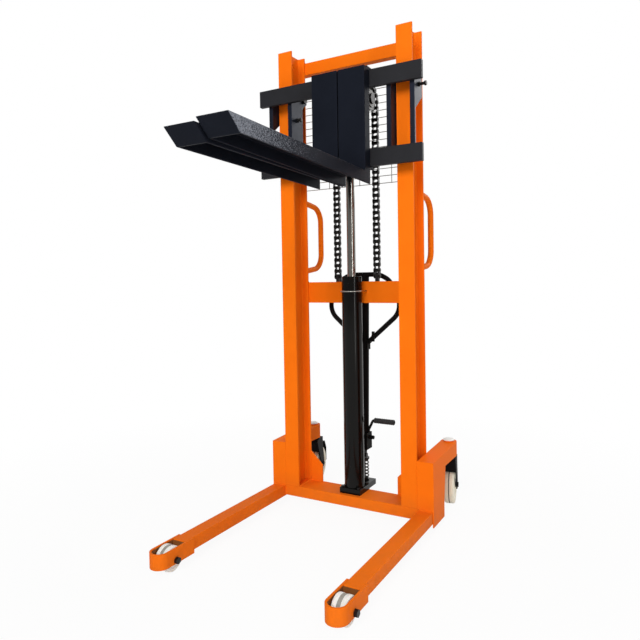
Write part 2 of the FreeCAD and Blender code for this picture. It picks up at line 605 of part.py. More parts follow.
def lift_cylinder():
    foot_top = "(base_top + foot_height)"
    barrel_top = f"({gland_top} - gland_height)"
    inset = "(foot_half - foot_bolt_inset)"
    corners = [(f"{x} * {inset}", f"{ram_y} + {y} * {inset}") for x in ("-1", "1") for y in ("-1", "1")]
    foot = box(("-foot_half", "foot_half"), (f"{ram_y} - foot_half", pump_front), ("base_top", foot_top))
    past = ("base_top - overrun", f"{foot_top} + overrun")
    keep(cut(foot, *[rod("z", past, x, y, "foot_bolt + slack") for x, y in corners]), "cylinder_foot")
    bolts = [fuse(rod("z", ("base_top", foot_top), x, y, "foot_bolt"),
                  hexagon("z", (foot_top, f"{foot_top} + foot_bolt_height"), x, y, "foot_bolt_head"))
             for x, y in corners]
    keep(group(*bolts), "foot_bolts")
    ears = [box(across(sign, "ear_gap_half", "ear_gap_half + ear_thick"),
                (f"{ram_y} + (barrel_bore + barrel_radius) / 2", f"{pivot_y} + ear_half"),
                (f"{pivot_z} - ear_half", f"{pivot_z} + ear_half")) for _, sign in sides]
    barrel = tube("z", (foot_top, barrel_top), "0", ram_y, "barrel_radius", "barrel_bore")
    wide = ("-ear_gap_half - ear_thick - overrun", "ear_gap_half + ear_thick + overrun")
    keep(cut(fuse(barrel, *ears), rod("x", wide, pivot_y, pivot_z, "pivot_pin + slack")), "cylinder_barrel")
    gland = tube("z", (barrel_top, gland_top), "0", ram_y, "barrel_radius", "rod_radius + running_fit")
    keep(gland, "gland_nut")
    pin_half = "(ear_gap_half + ear_thick + slack)"
    heads = [hexagon("x", across(sign, pin_half, f"{pin_half} + pin_head_height"), pivot_y, pivot_z,
                     "pin_head") for _, sign in sides]
    keep(fuse(rod("x", (f"-{pin_half}", pin_half), pivot_y, pivot_z, "pivot_pin"), *heads), "rocker_pin")


# The clamp: a round U-bolt in front of the barrel, a saddle behind it and two nuts inside the beam.
def cylinder_clamp():
    bend = "(barrel_radius + seat_gap + clamp_rod)"
    nut_front = f"({mast_back} + beam_wall)"
    arch = doc.addObject("Part::Torus", "Arch")
    bind(arch, "Radius1", bend)
    bind(arch, "Radius2", "clamp_rod")
    arch.Angle3 = 180
    arch.Placement = Placement(Vector(), Rotation(Vector(0, 0, 1), 180))
    place(arch, "0", ram_y, clamp_height)
    tails = [rod("y", (ram_y, f"{nut_front} + clamp_tail"), f"{sign} * {bend}", clamp_height, "clamp_rod")
             for _, sign in sides]
    saddle = box(("-saddle_half", "saddle_half"), (f"{ram_y} + barrel_radius - saddle_wrap", mast_back),
                 (f"{clamp_height} - saddle_half_height", f"{clamp_height} + saddle_half_height"))
    through = (f"{clamp_height} - beam_height", f"{clamp_height} + beam_height")
    saddle = cut(saddle, rod("z", through, "0", ram_y, "barrel_radius + seat_gap"))
    nuts = []
    for _, sign in sides:
        spot = (f"{sign} * {bend}", clamp_height)
        nuts.append(cut(hexagon("y", (nut_front, f"{nut_front} + clamp_nut_height"), *spot, "clamp_nut"),
                        rod("y", (f"{nut_front} - overrun", f"{nut_front} + clamp_tail"), *spot,
                            "clamp_rod + running_fit")))
    keep(group(fuse(arch, *tails), saddle, *nuts), "cylinder_clamp")


def ram():
    crosshead_low = f"({sheave_z} - crosshead_half_height)"
    piston_top = f"({gland_top} - gland_height - piston_gap)"
    keep(rod("z", (piston_top, crosshead_low), "0", ram_y, "rod_radius"), "piston_rod")
    piston = rod("z", (f"{piston_top} - piston_height", piston_top), "0", ram_y, "barrel_bore - running_fit")
    keep(piston, "piston_head")
    half = "(chain_centre - sheave_hub_half - side_play)"
    block = box((f"-{half}", half), (f"{ram_y} - crosshead_half_depth", f"{ram_y} + crosshead_half_depth"),
                (crosshead_low, f"{sheave_z} + crosshead_half_height"))
    end = "(chain_centre + sheave_hub_half + side_play + collar_width)"
    bore = rod("x", (f"-{half} - overrun", f"{half} + overrun"), ram_y, sheave_z, "sheave_axle + slack")
    keep(cut(block, bore), "crosshead")
    collars = [rod("x", across(sign, f"{end} - collar_width", end), ram_y, sheave_z, "collar_radius")
               for _, sign in sides]
    keep(fuse(rod("x", (f"-{end}", end), ram_y, sheave_z, "sheave_axle"), *collars), "sheave_axle")
    rim = f"({chain_radius} - link_roller - seat_gap)"
    bore = "sheave_axle + running_fit"
    for side, sign in sides:
        section = [("-sheave_hub_half", bore), ("sheave_hub_half", bore), ("sheave_hub_half", "sheave_hub"),
                   ("sheave_half", "sheave_hub"), ("sheave_half", rim), ("-sheave_half", rim),
                   ("-sheave_half", "sheave_hub"), ("-sheave_hub_half", "sheave_hub")]
        keep(place(turned(section, "H_Axis"), f"{sign} * chain_centre", ram_y, sheave_z), f"sheave_{side}")


# Roller chain: outer links carry the pins, inner links carry the rollers.
def chain_link(outer):
    """One link upright, with its pins at zero and at one pitch."""
    pitch = size("chain_pitch")
    thick = size("link_plate")
    play = size("link_play")
    inner_face = size("link_inner") / 2
    face = inner_face + thick + play if outer else inner_face
    across_x = Vector(1, 0, 0)
    pins = [Vector(0, 0, 0), Vector(0, 0, pitch)]

    def bar(radius, half):
        return [Part.makeCylinder(radius, 2 * half, pin - across_x * half, across_x) for pin in pins]

    waist = size("link_waist")
    solids = []
    for start in (face, -face - thick):
        edge = Vector(start, 0, 0)
        solids += [Part.makeCylinder(size("link_height") / 2, thick, pin + edge, across_x) for pin in pins]
        solids.append(Part.makeBox(thick, waist, pitch, edge - Vector(0, waist / 2, 0)))
    if outer:
        solids += bar(size("link_pin"), face + thick + size("link_pin_end"))
        return solids[0].fuse(solids[1:]).removeSplitter()
    solids += bar(size("link_roller"), inner_face)
    whole = solids[0].fuse(solids[1:]).removeSplitter()
    return whole.cut(bar(size("link_pin") + play, face + thick + play))


def chain_run(first, pins):
    """Links between pins given as Y and Z; the first link is outer where first is even."""
    kinds = [chain_link(True), chain_link(False)]
    links = []
    for number, (start, end) in enumerate(zip(pins, pins[1:])):
        link = kinds[(first + number) % 2].copy()
        lean = math.degrees(math.atan2(start[0] - end[0], end[1] - start[1]))
        link.Placement = Placement(Vector(0, *start), Rotation(Vector(1, 0, 0), lean))
        links.append(link)
    return shaped(Part.makeCompound(links))


def chains():
    pitch = size("chain_pitch")
    rear, wrap, front = (int(size(name)) for name in ("rear_links", "wrap_links", "front_links"))
    radius = pitch / (2 * math.sin(math.pi / 2 / wrap))
    arc = [math.pi * n / wrap for n in range(wrap + 1)]
    runs = {
        "rear_chains": (0, [(radius, pitch * (n - rear)) for n in range(rear + 1)]),
        "sheave_chains": (rear, [(radius * math.cos(angle), radius * math.sin(angle)) for angle in arc]),
        "front_chains": (rear + wrap, [(-radius, -pitch * n) for n in range(front + 1)]),
    }
    for label, (first, pins) in runs.items():
        pair = [place(chain_run(first, pins), f"{sign} * chain_centre", ram_y, sheave_z) for _, sign in sides]
        keep(group(*pair), label)


def chain_ends():
    rear_y = f"({ram_y} + {chain_radius})"
    front_y = f"({ram_y} - {chain_radius})"
    rear_z = f"({beam_top} + lug_pin_height)"
    lugs = []
    anchors = []
    for _, sign in sides:
        width = across(sign, "chain_centre - lug_half", "chain_centre + lug_half")
        past = across(sign, "chain_centre - lug_half - overrun", "chain_centre + lug_half + overrun")
        lug = box(width, (mast_back, f"{rear_y} + lug_margin"), (beam_top, f"{rear_z} + lug_margin"))
        lugs.append(cut(lug, rod("x", past, rear_y, rear_z, "link_pin + link_play")))
        anchor = box(width, (bar_back, f"{front_y} + lug_margin"),
                     (f"{anchor_z} - 2 * lug_margin", f"{anchor_z} + lug_margin"))
        anchors.append(cut(anchor, rod("x", past, front_y, anchor_z, "link_pin + link_play")))
    keep(group(*lugs), "chain_lugs")
    keep(group(*anchors), "chain_anchors")


# Carriage: two bars joined by plates on both sides of each mast.
def carriage():
    depth = (bar_front, bar_back)
    for name, low in (("upper", upper_bar), ("lower", lower_bar)):
        keep(box((f"-{bar_half}", bar_half), depth, (low, f"{low} + bar_height")), f"carriage_bar_{name}")
    recess = "mast_front + mast_depth / 2"
    rise = (f"{plate_bottom} + roller_inset", f"{plate_top} - roller_inset")
    guide_y = "mast_front + mast_flange / 2"
    # The left outer and right inner guides stand behind the middle of a bar.
    outer_levels = (f"{upper_bar} + bar_height / 2", f"{upper_bar} - guide_under")
    inner_levels = (f"{upper_bar} - guide_fall", f"{lower_bar} + bar_height / 2")
    mid = "mast_front + plate_mid"
    ear = "mast_front + plate_ear"
    narrow = f"{bar_back} + wing_narrow"
    wide = "mast_front + wing_wide"
    inner_outline = [(bar_back, plate_bottom), (ear, plate_bottom), (ear, f"{plate_bottom} + ear_height"),
                     (mid, f"{plate_bottom} + ear_height + ear_slope"),
                     (mid, f"{plate_top} - ear_height - ear_slope"), (ear, f"{plate_top} - ear_height"),
                     (ear, plate_top), (bar_back, plate_top)]
    outer_outline = [(bar_back, plate_bottom), (narrow, plate_bottom), (narrow, f"{upper_bar} - wing_low"),
                     (wide, f"{upper_bar} - wing_high"), (wide, plate_top), (bar_back, plate_top)]
    inner_far = f"({inner_plate} + plate_thick)"
    outer_far = f"({outer_plate} + plate_thick)"
    roller_far = "(mast_spacing / 2 - mast_web / 2 - mast_root)"
    roller_near = f"({roller_far} - roller_width)"
    section = wheel_section("roller_width / 2", "roller_radius", "roller_axle + running_fit", "roller_edge")
    inner_plates = []
    outer_plates = []
    axles = []
    guides = []
    for (side, sign), outer_level, inner_level in zip(sides, outer_levels, inner_levels):
        outer_guide = (guide_y, outer_level)
        inner_guide = (guide_y, inner_level)
        past = across(sign, f"{inner_plate} - overrun", f"{inner_far} + overrun")
        holes = [rod("x", past, recess, level, "roller_axle + slack") for level in rise]
        holes.append(rod("x", past, *inner_guide, "guide_bolt + slack"))
        # The forks' upper hooks slide past a notch in the plate's top corner.
        hook_low = f"({upper_bar} + bar_height + seat_gap - hook_drop - slack)"
        holes.append(box(past, (f"{bar_back} - overrun", f"{bar_back} + hook_lip + slack"),
                         (hook_low, f"{hook_low} + hook_drop + hook_height + overrun")))
        inner_plates.append(cut(side_plate(inner_outline, across(sign, inner_plate, inner_far)), *holes))
        past = across(sign, f"{outer_plate} - overrun", f"{outer_far} + overrun")
        hole = rod("x", past, *outer_guide, "guide_bolt + slack")
        outer_plates.append(cut(side_plate(outer_outline, across(sign, outer_plate, outer_far)), hole))
        for name, level in zip(("lower", "upper"), rise):
            spot = (recess, level)
            head = across(sign, f"{inner_plate} - roller_head_height", inner_plate)
            axles.append(fuse(rod("x", across(sign, inner_plate, roller_far), *spot, "roller_axle"),
                              hexagon("x", head, *spot, "roller_head")))
            axles.append(tube("x", across(sign, inner_far, f"{roller_near} - side_play"), *spot,
                              "roller_collar", "roller_axle + running_fit"))
            middle = f"{sign} * ({roller_near} + {roller_far}) / 2"
            keep(place(turned(section, "H_Axis"), middle, *spot), f"mast_roller_{name}_{side}")
        # Each side guide is a bolt with a lock nut, and its tip bears on the mast's front flange.
        end = f"({outer_far} + guide_out)"
        shank = rod("x", across(sign, f"{mast_side} + seat_gap", end), *outer_guide, "guide_bolt")
        spans = [across(sign, start, f"{start} + guide_head_height") for start in (outer_far, end)]
        guides.append(fuse(shank, *[hexagon("x", span, *outer_guide, "guide_head") for span in spans]))
        end = f"({inner_plate} - guide_in)"
        shank = rod("x", across(sign, end, f"{mast_edge} - seat_gap"), *inner_guide, "guide_bolt")
        spans = [across(sign, f"{start} - guide_head_height", start) for start in (inner_plate, end)]
        guides.append(fuse(shank, *[hexagon("x", span, *inner_guide, "guide_head") for span in spans]))
    keep(group(*inner_plates), "inner_carriage_plates")
    keep(group(*outer_plates), "outer_carriage_plates")
    keep(group(*axles), "roller_axles")
    keep(group(*guides), "guide_bolts")


# Forks: channel steel, the shank open to the rear and the blade open below, hooked on both bars.
def fork(side, x):
    rise = f"{side}_rise"
    heel = f"({bar_front} - seat_gap)"
    front = f"({heel} - fork_depth)"
    tip = "(mast_front - fork_reach)"
    top = f"({upper_bar} + bar_height + fork_over)"
    bottom = f"({lower_bar} - fork_under)"
    slope = f"({rise} / ({heel} - {tip}))"

    def under(y):
        return f"({bottom} + {slope} * ({heel} - ({y})))"

    def over(y):
        return f"({under(y)} + fork_depth)"

    bevel = f"({tip} + fork_bevel)"
    weld = f"({front} - heel_weld)"
    outline = [(heel, top), (front, top), (front, f"{over(front)} + heel_weld"), (weld, over(weld)),
               (tip, over(tip)), (bevel, under(bevel)), (heel, bottom)]
    inside = (f"{x[0]} + fork_wall", f"{x[1]} - fork_wall")
    rear = f"({heel} + overrun)"
    nose = f"({tip} + 2 * fork_wall)"
    lip = f"({bevel} + fork_wall)"
    trough = [(rear, f"{over(rear)} - fork_wall"), (nose, f"{over(nose)} - fork_wall"),
              (lip, under(lip)), (lip, f"{under(lip)} - overrun"), (rear, f"{under(rear)} - overrun")]
    shank = box(inside, (f"{front} + fork_wall", f"{heel} + overrun"), (over(heel), f"{top} - fork_wall"))
    body = cut(side_plate(outline, x), side_plate(trough, inside), shank)
    behind = (f"{bar_back} + seat_gap", f"{bar_back} + hook_lip")
    reach = (f"{heel} - hook_root", f"{bar_back} + hook_lip")
    rest = f"({upper_bar} + bar_height + seat_gap)"
    grip = f"({lower_bar} - seat_gap)"
    hooks = [box(x, reach, (rest, f"{rest} + hook_height")), box(x, reach, (f"{grip} - hook_height", grip)),
             box(x, behind, (f"{rest} - hook_drop", f"{rest} + hook_height")),
             box(x, behind, (f"{grip} - hook_height", f"{grip} + hook_drop"))]
    keep(fuse(body, *hooks), f"fork_{side}")


def forks():
    fork("left", ("fork_shift - fork_space / 2 - fork_width", "fork_shift - fork_space / 2"))
    fork("right", ("fork_shift + fork_space / 2", "fork_shift + fork_space / 2 + fork_width"))


def pump():
    depth = (pump_front, f"{pump_front} + pump_depth")
    block = box(("-pump_left", "pump_right"), depth, ("base_top", pump_top))
    stub = rod("z", (pump_top, f"{pump_top} + pump_stub_height"), "0", pump_y, "pump_stub")
    bore = rod("z", ("base_top + pump_floor", f"{pump_top} + pump_stub_height + overrun"), "0", pump_y,
               "plunger_radius + running_fit")
    keep(cut(fuse(block, stub), bore), "pump_body")
    stem = rod("z", (f"{pump_top} + pump_stub_height - plunger_dip", disc_low), "0", pump_y, "plunger_radius")
    disc = rod("z", (disc_low, f"{disc_low} + cap_disc_height"), "0", pump_y, "cap_disc")
    keep(fuse(stem, disc), "pump_plunger")
    keep(place(shaped(spring()), "0", pump_y, pump_top), "pump_spring")


def biarc(start, start_way, end, end_way):
    """Two tangent arcs that leave one point and reach another in given directions."""
    chord = end - start
    ways = start_way + end_way
    spread = 2 * (1 - start_way.dot(end_way))
    reach = (math.sqrt(chord.dot(ways) ** 2 + spread * chord.dot(chord)) - chord.dot(ways)) / spread
    corners = (start + start_way * reach, end - end_way * reach)
    joint = (corners[0] + corners[1]) / 2
    arcs = []
    for first, corner, last in ((start, corners[0], joint), (joint, corners[1], end)):
        middle = (first + last) / 2
        half = (last - first).getAngle(corner - first)
        apex = middle + (corner - middle) * (math.tan(half / 2) / math.tan(half))
        arcs.append(Part.Arc(first, apex, last).toShape())
    return arcs


def spring():
    """A helix of round wire between the pump and the plunger's disc, as quarter-turn biarcs."""
    wire = size("spring_wire") / 2
    radius = size("spring_radius") - wire
    coils = int(size("spring_coils"))
    seat = wire + size("seat_gap")
    rise = size("spring_height") - 2 * seat
    turn_rise = rise / coils

    def point(turns):
        angle = math.tau * turns
        return Vector(radius * math.cos(angle), radius * math.sin(angle), seat + turn_rise * turns)

    def way(turns):
        angle = math.tau * turns
        run = math.tau * radius
        return Vector(-run * math.sin(angle), run * math.cos(angle), turn_rise).normalize()

    quarters = [n / 4 for n in range(4 * coils + 1)]
    edges = []
    for start, end in zip(quarters, quarters[1:]):
        edges += biarc(point(start), way(start), point(end), way(end))
    spans = [(point(a) - point(b)).Length for a in quarters for b in quarters if a - b >= quarters[2]]
    gap = min(spans) - 2 * wire
    print(f"pump spring least gap to itself {gap:.2f} mm")
    return swept(Part.Wire(edges), wire)


# Rocker: two cheeks on the pivot pin, a block that holds the tiller, a press roller and the foot pedal's arm.
def rocker():
    pivot = (pivot_y, pivot_z)
    roller = (pump_y, roller_z)
    front = f"({pivot_y} + block_front)"
    low = f"({pivot_z} + block_low)"
    rear = f"({pump_y} + rocker_hub)"
    cheek = [(f"{pivot_y} - rocker_hub", pivot_z),
             (f"{pump_y} + rocker_hub / 2", f"{roller_z} - rocker_hub / 2"),
             (rear, f"{roller_z} + rocker_hub"), (rear, f"{low} + overrun"), (front, f"{low} + overrun")]
    parts = []
    for _, sign in sides:
        span = across(sign, "cheek_half - cheek_thick", "cheek_half")
        parts.append(side_plate(cheek, span))
        parts += [rod("x", span, *spot, "rocker_hub") for spot in (pivot, roller)]
    parts.append(box(("-block_half", "block_half"), (front, f"{pivot_y} + block_back"),
                     (low, f"{pivot_z} + block_high")))
    parts.append(hexagon("x", ("block_half", "block_half + set_screw_out"), tiller_y,
                         f"{pivot_z} + block_high - set_screw_drop", "set_screw"))
    # The pedal's arm starts in a lug on the right side of the tiller's socket.
    parts.append(box(("tiller_radius + slack", "block_half"),
                     (f"{tiller_y} - pedal_rod", f"{tiller_y} + pedal_rod"),
                     (low, f"{pivot_z} + pedal_start + pedal_rod")))
    foot = (size("tiller_radius") + size("block_half")) / 2
    arm = [Vector(foot, 0, size("pedal_start")), Vector(size("pedal_out"), 0, size("pedal_rise")),
           Vector(size("pedal_end"), 0, size("pedal_rise"))]
    bent = shaped(swept(bent_path(arm, size("pedal_bend")), size("pedal_rod")))
    parts.append(place(bent, "0", tiller_y, pivot_z))
    wide = ("-cheek_half - overrun", "cheek_half + overrun")
    socket = lean_tiller(rod("z", ("0", "tiller_length"), "0", "0", "tiller_radius + slack / 2"))
    casting = cut(fuse(*parts), rod("x", wide, *pivot, "pivot_pin + running_fit"),
                  rod("x", wide, *roller, "press_pin + slack"), socket)
    press = tube("x", ("-press_roller_half", "press_roller_half"), *roller, "press_roller",
                 "press_pin + running_fit")
    pin = rod("x", ("-cheek_half", "cheek_half"), *roller, "press_pin")
    keep(group(casting, press, pin), "rocker")
    sleeve = tube("x", ("pedal_out + pedal_grip_gap", "pedal_end"), tiller_y, f"{pivot_z} + pedal_rise",
                  "pedal_grip", "pedal_rod + slack / 2")
    keep(sleeve, "pedal_grip")


def lean_tiller(item):
    """Tiller pieces are drawn upright from the tiller's foot, then leaned back."""
    turn(item, (-1, 0, 0), "tiller_lean_angle")
    return place(item, "0", tiller_y, tiller_z)


def tiller():
    # The loop is heart-shaped: wide below, with sloping shoulders and a straight top bar.
    top = size("tiller_length") + size("loop_reach")
    right = [Vector(size("knuckle_half") / 2, 0, size("tiller_length") + size("knuckle_height") / 2),
             Vector(size("loop_half"), 0, top - size("loop_drop")),
             Vector(size("loop_shoulder"), 0, top - size("loop_slope")),
             Vector(size("loop_top_half"), 0, top)]
    left = [Vector(-point.x, 0, point.z) for point in reversed(right)]
    loop = swept(bent_path(right + left, size("loop_bend")), size("loop_tube"))
    knuckle = box(("-knuckle_half", "knuckle_half"), ("-knuckle_half_depth", "knuckle_half_depth"),
                  ("tiller_length - knuckle_height / 4", "tiller_length + knuckle_height"))
    stem = tube("z", ("0", "tiller_length"), "0", "0", "tiller_radius", "tiller_bore")
    post_top = "tiller_length + loop_reach + loop_tube / 2"
    post = rod("z", ("tiller_length", post_top), "0", "0", "tiller_radius")
    # The release lever turns on a headed pin in the front of the loop's right arm.
    start = "(tiller_length + knuckle_height / 2)"
    corner = "(tiller_length + loop_reach - loop_drop)"
    share = "((lever_out - knuckle_half / 2) / (loop_half - knuckle_half / 2))"
    lever_z = f"({start} + ({corner} - {start}) * {share})"
    front = "(-loop_tube - 2 * side_play - lever_thick)"
    pin = fuse(rod("y", (front, "0"), "lever_out", lever_z, "lever_pin"),
               rod("y", (f"{front} - lever_head_height", front), "lever_out", lever_z, "lever_head"))
    keep(lean_tiller(fuse(stem, post, knuckle, shaped(loop), pin)), "tiller_handle")
    span = (f"{front} + side_play", "-loop_tube - side_play")
    hub = rod("y", span, "lever_out", lever_z, "lever_hub")
    finger = box(("lever_out - lever_half", "lever_out + lever_half"), span,
                 (f"{lever_z} - lever_length / 2", f"{lever_z} + lever_length / 2"))
    bore = rod("y", (f"{front} - overrun", "0"), "lever_out", lever_z, "lever_pin + running_fit")
    keep(lean_tiller(cut(fuse(hub, finger), bore)), "release_lever")


for side, sign in sides:
    mast(side, sign)
crossbeams()
base()
legs()
front_wheels()
castor_brackets()
for side, sign in sides:
    castor(side, sign)
mesh_guard()
push_handles()
lift_cylinder()
cylinder_clamp()
ram()
chains()
chain_ends()
carriage()
forks()
pump()
rocker()
tiller()
doc.recompute()

# Nothing is written unless every object is sound.
for item in doc.Objects:
    if "Invalid" in item.State or "Error" in item.State:
        raise RuntimeError(f"{item.Name} ({item.Label}) failed: {item.State}")
for node in nodes:
    if node.Shape.isNull() or not node.Shape.isValid() or not node.Shape.Solids:
        raise RuntimeError(f"{node.Label} has no sound solid")

os.makedirs("parts", exist_ok=True)
for node in nodes:
    node.Shape.exportStep(f"parts/{node.Label}.step")
print(f"{len(nodes)} sub-parts, {sum(len(node.Shape.Solids) for node in nodes)} solids")
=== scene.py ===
import json
import math
import bmesh
import bpy
import numpy as np
from mathutils import Matrix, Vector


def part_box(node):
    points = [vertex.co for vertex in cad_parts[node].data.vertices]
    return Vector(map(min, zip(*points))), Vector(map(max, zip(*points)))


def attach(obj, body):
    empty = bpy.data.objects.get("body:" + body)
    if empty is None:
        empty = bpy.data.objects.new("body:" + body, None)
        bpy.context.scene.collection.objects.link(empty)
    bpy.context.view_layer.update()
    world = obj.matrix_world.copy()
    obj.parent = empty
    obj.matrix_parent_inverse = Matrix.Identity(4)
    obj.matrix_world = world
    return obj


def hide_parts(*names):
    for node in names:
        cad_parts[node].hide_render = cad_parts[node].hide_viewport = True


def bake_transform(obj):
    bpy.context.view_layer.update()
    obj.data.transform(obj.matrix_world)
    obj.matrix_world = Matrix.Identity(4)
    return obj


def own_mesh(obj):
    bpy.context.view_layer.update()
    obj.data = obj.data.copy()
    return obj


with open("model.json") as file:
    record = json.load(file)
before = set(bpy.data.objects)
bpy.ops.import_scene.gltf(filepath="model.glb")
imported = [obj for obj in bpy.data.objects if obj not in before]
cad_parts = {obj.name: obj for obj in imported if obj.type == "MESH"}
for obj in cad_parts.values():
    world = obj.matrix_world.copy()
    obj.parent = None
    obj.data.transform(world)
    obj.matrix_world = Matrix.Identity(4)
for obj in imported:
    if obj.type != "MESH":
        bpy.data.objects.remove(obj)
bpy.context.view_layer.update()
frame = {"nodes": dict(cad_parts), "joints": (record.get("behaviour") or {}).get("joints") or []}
nodes = frame["nodes"]
joints = {joint["name"]: joint for joint in frame["joints"]}


# Small tools: colour, nodes, surfaces

def linearOf(hexText):  # sRGB hex to linear red, green, blue, alpha
    srgb = np.array([int(hexText[i:i + 2], 16) for i in (0, 2, 4)]) / 255
    linear = np.where(srgb <= 0.04045, srgb / 12.92, ((srgb + 0.055) / 1.055) ** 2.4)
    return (*linear.tolist(), 1.0)


def addNode(tree, kind, inputs=None, **settings):  # one node with its settings, values and links
    node = tree.nodes.new(kind)
    for key, value in settings.items():
        setattr(node, key, value)
    for key, value in (inputs or {}).items():
        if isinstance(value, bpy.types.NodeSocket):
            tree.links.new(value, node.inputs[key])
        else:
            node.inputs[key].default_value = value
    return node


def startFinish(name):  # an empty material with its shader and the object's own coordinates
    material = bpy.data.materials.new(name)
    material.use_nodes = True
    tree = material.node_tree
    tree.nodes.clear()
    shader = addNode(tree, "ShaderNodeBsdfPrincipled")
    addNode(tree, "ShaderNodeOutputMaterial", {"Surface": shader.outputs["BSDF"]})
    place = addNode(tree, "ShaderNodeTexCoord").outputs["Object"]
    return material, tree, shader, place


edgeLook = {"flat": 0.985, "edge": 0.88, "chipStart": 0.62, "chipFull": 0.72, "samples": 6}


def edgeMask(tree, place, edgeMm, chipMm, share):
    # Where a rounded normal leans away from the flat one there is an edge; noise breaks it into chips.
    # In the look, flat and edge are cosines of that lean, and the chips are levels of the noise.
    rounded = addNode(tree, "ShaderNodeBevel", {"Radius": edgeMm / 1000}, samples=edgeLook["samples"])
    flat = addNode(tree, "ShaderNodeNewGeometry").outputs["Normal"]
    lean = addNode(tree, "ShaderNodeVectorMath", {0: rounded.outputs["Normal"], 1: flat},
                   operation="DOT_PRODUCT")
    edge = addNode(tree, "ShaderNodeMapRange", {"Value": lean.outputs["Value"], "From Min": edgeLook["flat"],
                                                "From Max": edgeLook["edge"]})
    chips = addNode(tree, "ShaderNodeTexNoise", {"Vector": place, "Scale": 1000 / chipMm, "Detail": 4.0})
    kept = addNode(tree, "ShaderNodeMapRange",
                   {"Value": chips.outputs["Fac"], "From Min": edgeLook["chipStart"] - share,
                    "From Max": edgeLook["chipFull"] - share})
    both = addNode(tree, "ShaderNodeMath", {0: edge.outputs["Result"], 1: kept.outputs["Result"]},
                   operation="MULTIPLY")
    return both.outputs["Value"]


def gridFaces(rows, columns, loopRows, loopColumns):  # quads between neighbours of a grid of points
    i, j = np.meshgrid(np.arange(rows if loopRows else rows - 1),
                       np.arange(columns if loopColumns else columns - 1), indexing="ij")
    i, j = i.ravel(), j.ravel()
    up, right = (i + 1) % rows, (j + 1) % columns
    return np.stack([i * columns + j, i * columns + right, up * columns + right, up * columns + j], 1)


def axesAcross(way):  # two unit directions square to a way
    way = np.asarray(way, float) / np.linalg.norm(way)
    helper = np.array([0, 0, 1.0]) if abs(way[2]) < 0.9 else np.array([1.0, 0, 0])
    first = np.cross(helper, way)
    first /= np.linalg.norm(first)
    return way, first, np.cross(way, first)


def turnedSurface(profile, centre, way, steps=72, closed=True):
    # A profile of (distance along the axis, radius) carried round the axis.
    way, first, second = axesAcross(way)
    profile = np.asarray(profile, float)
    angle = np.arange(steps) * math.tau / steps
    ring = np.outer(np.cos(angle), first) + np.outer(np.sin(angle), second)
    points = (np.asarray(centre, float) + profile[:, 0, None, None] * way
              + profile[:, 1, None, None] * ring[None])
    return points.reshape(-1, 3), gridFaces(len(profile), steps, closed, True)


def tubeSurface(path, radius, up, sides=12):
    # A circle carried along a path; up is any direction, or one for each point, that the path never follows.
    path = np.asarray(path, float)
    way = np.gradient(path, axis=0)
    way /= np.linalg.norm(way, axis=1, keepdims=True)
    first = np.cross(np.broadcast_to(up, path.shape), way)
    first /= np.linalg.norm(first, axis=1, keepdims=True)
    second = np.cross(way, first)
    angle = np.arange(sides) * math.tau / sides
    radius = np.broadcast_to(np.asarray(radius, float), (len(path),))[:, None, None]
    points = path[:, None] + radius * (np.cos(angle)[None, :, None] * first[:, None]
                                       + np.sin(angle)[None, :, None] * second[:, None])
    points = points.reshape(-1, 3)
    faces = gridFaces(len(path), sides, False, True).tolist()
    faces += [list(range(sides))[::-1], list(range(len(points) - sides, len(points)))]
    return points, faces


shellLook = {"closeGap": 2e-7, "sharpAngle": 40}  # metres, degrees


def makePiece(name, surfaces, finish, body, replaces=(), smooth=True):
    # Surfaces go into one mesh whose object stays at the origin, and the piece rides on its body.
    points, faces, start = [], [], 0
    for surface, quads in surfaces:
        points.append(surface)
        faces += [[start + int(corner) for corner in face] for face in quads]
        start += len(surface)
    mesh = bpy.data.meshes.new(name)
    mesh.from_pydata(np.concatenate(points).tolist(), [], faces)
    shell = bmesh.new()
    shell.from_mesh(mesh)
    bmesh.ops.remove_doubles(shell, verts=shell.verts, dist=shellLook["closeGap"])  # closes poles
    bmesh.ops.recalc_face_normals(shell, faces=shell.faces)
    shell.to_mesh(mesh)
    shell.free()
    mesh.polygons.foreach_set("use_smooth", np.full(len(mesh.polygons), smooth))
    mesh.set_sharp_from_angle(angle=math.radians(shellLook["sharpAngle"]))
    piece = bpy.data.objects.new(name, mesh)
    bpy.context.scene.collection.objects.link(piece)
    mesh.materials.append(finish)
    if replaces:
        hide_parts(*replaces)
    if body:
        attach(piece, body)
    return piece


# Finishes

paintLook = {"ior": 1.5, "peelDepth": 0.0006, "smoother": 0.06, "rougher": 0.08, "dustMm": 35,
             "dustShare": 0.5, "fleckMany": 0.2, "fleckFew": -0.25, "fleckStart": 0.5, "fleckFull": 0.72,
             "sideBand": 0.003}


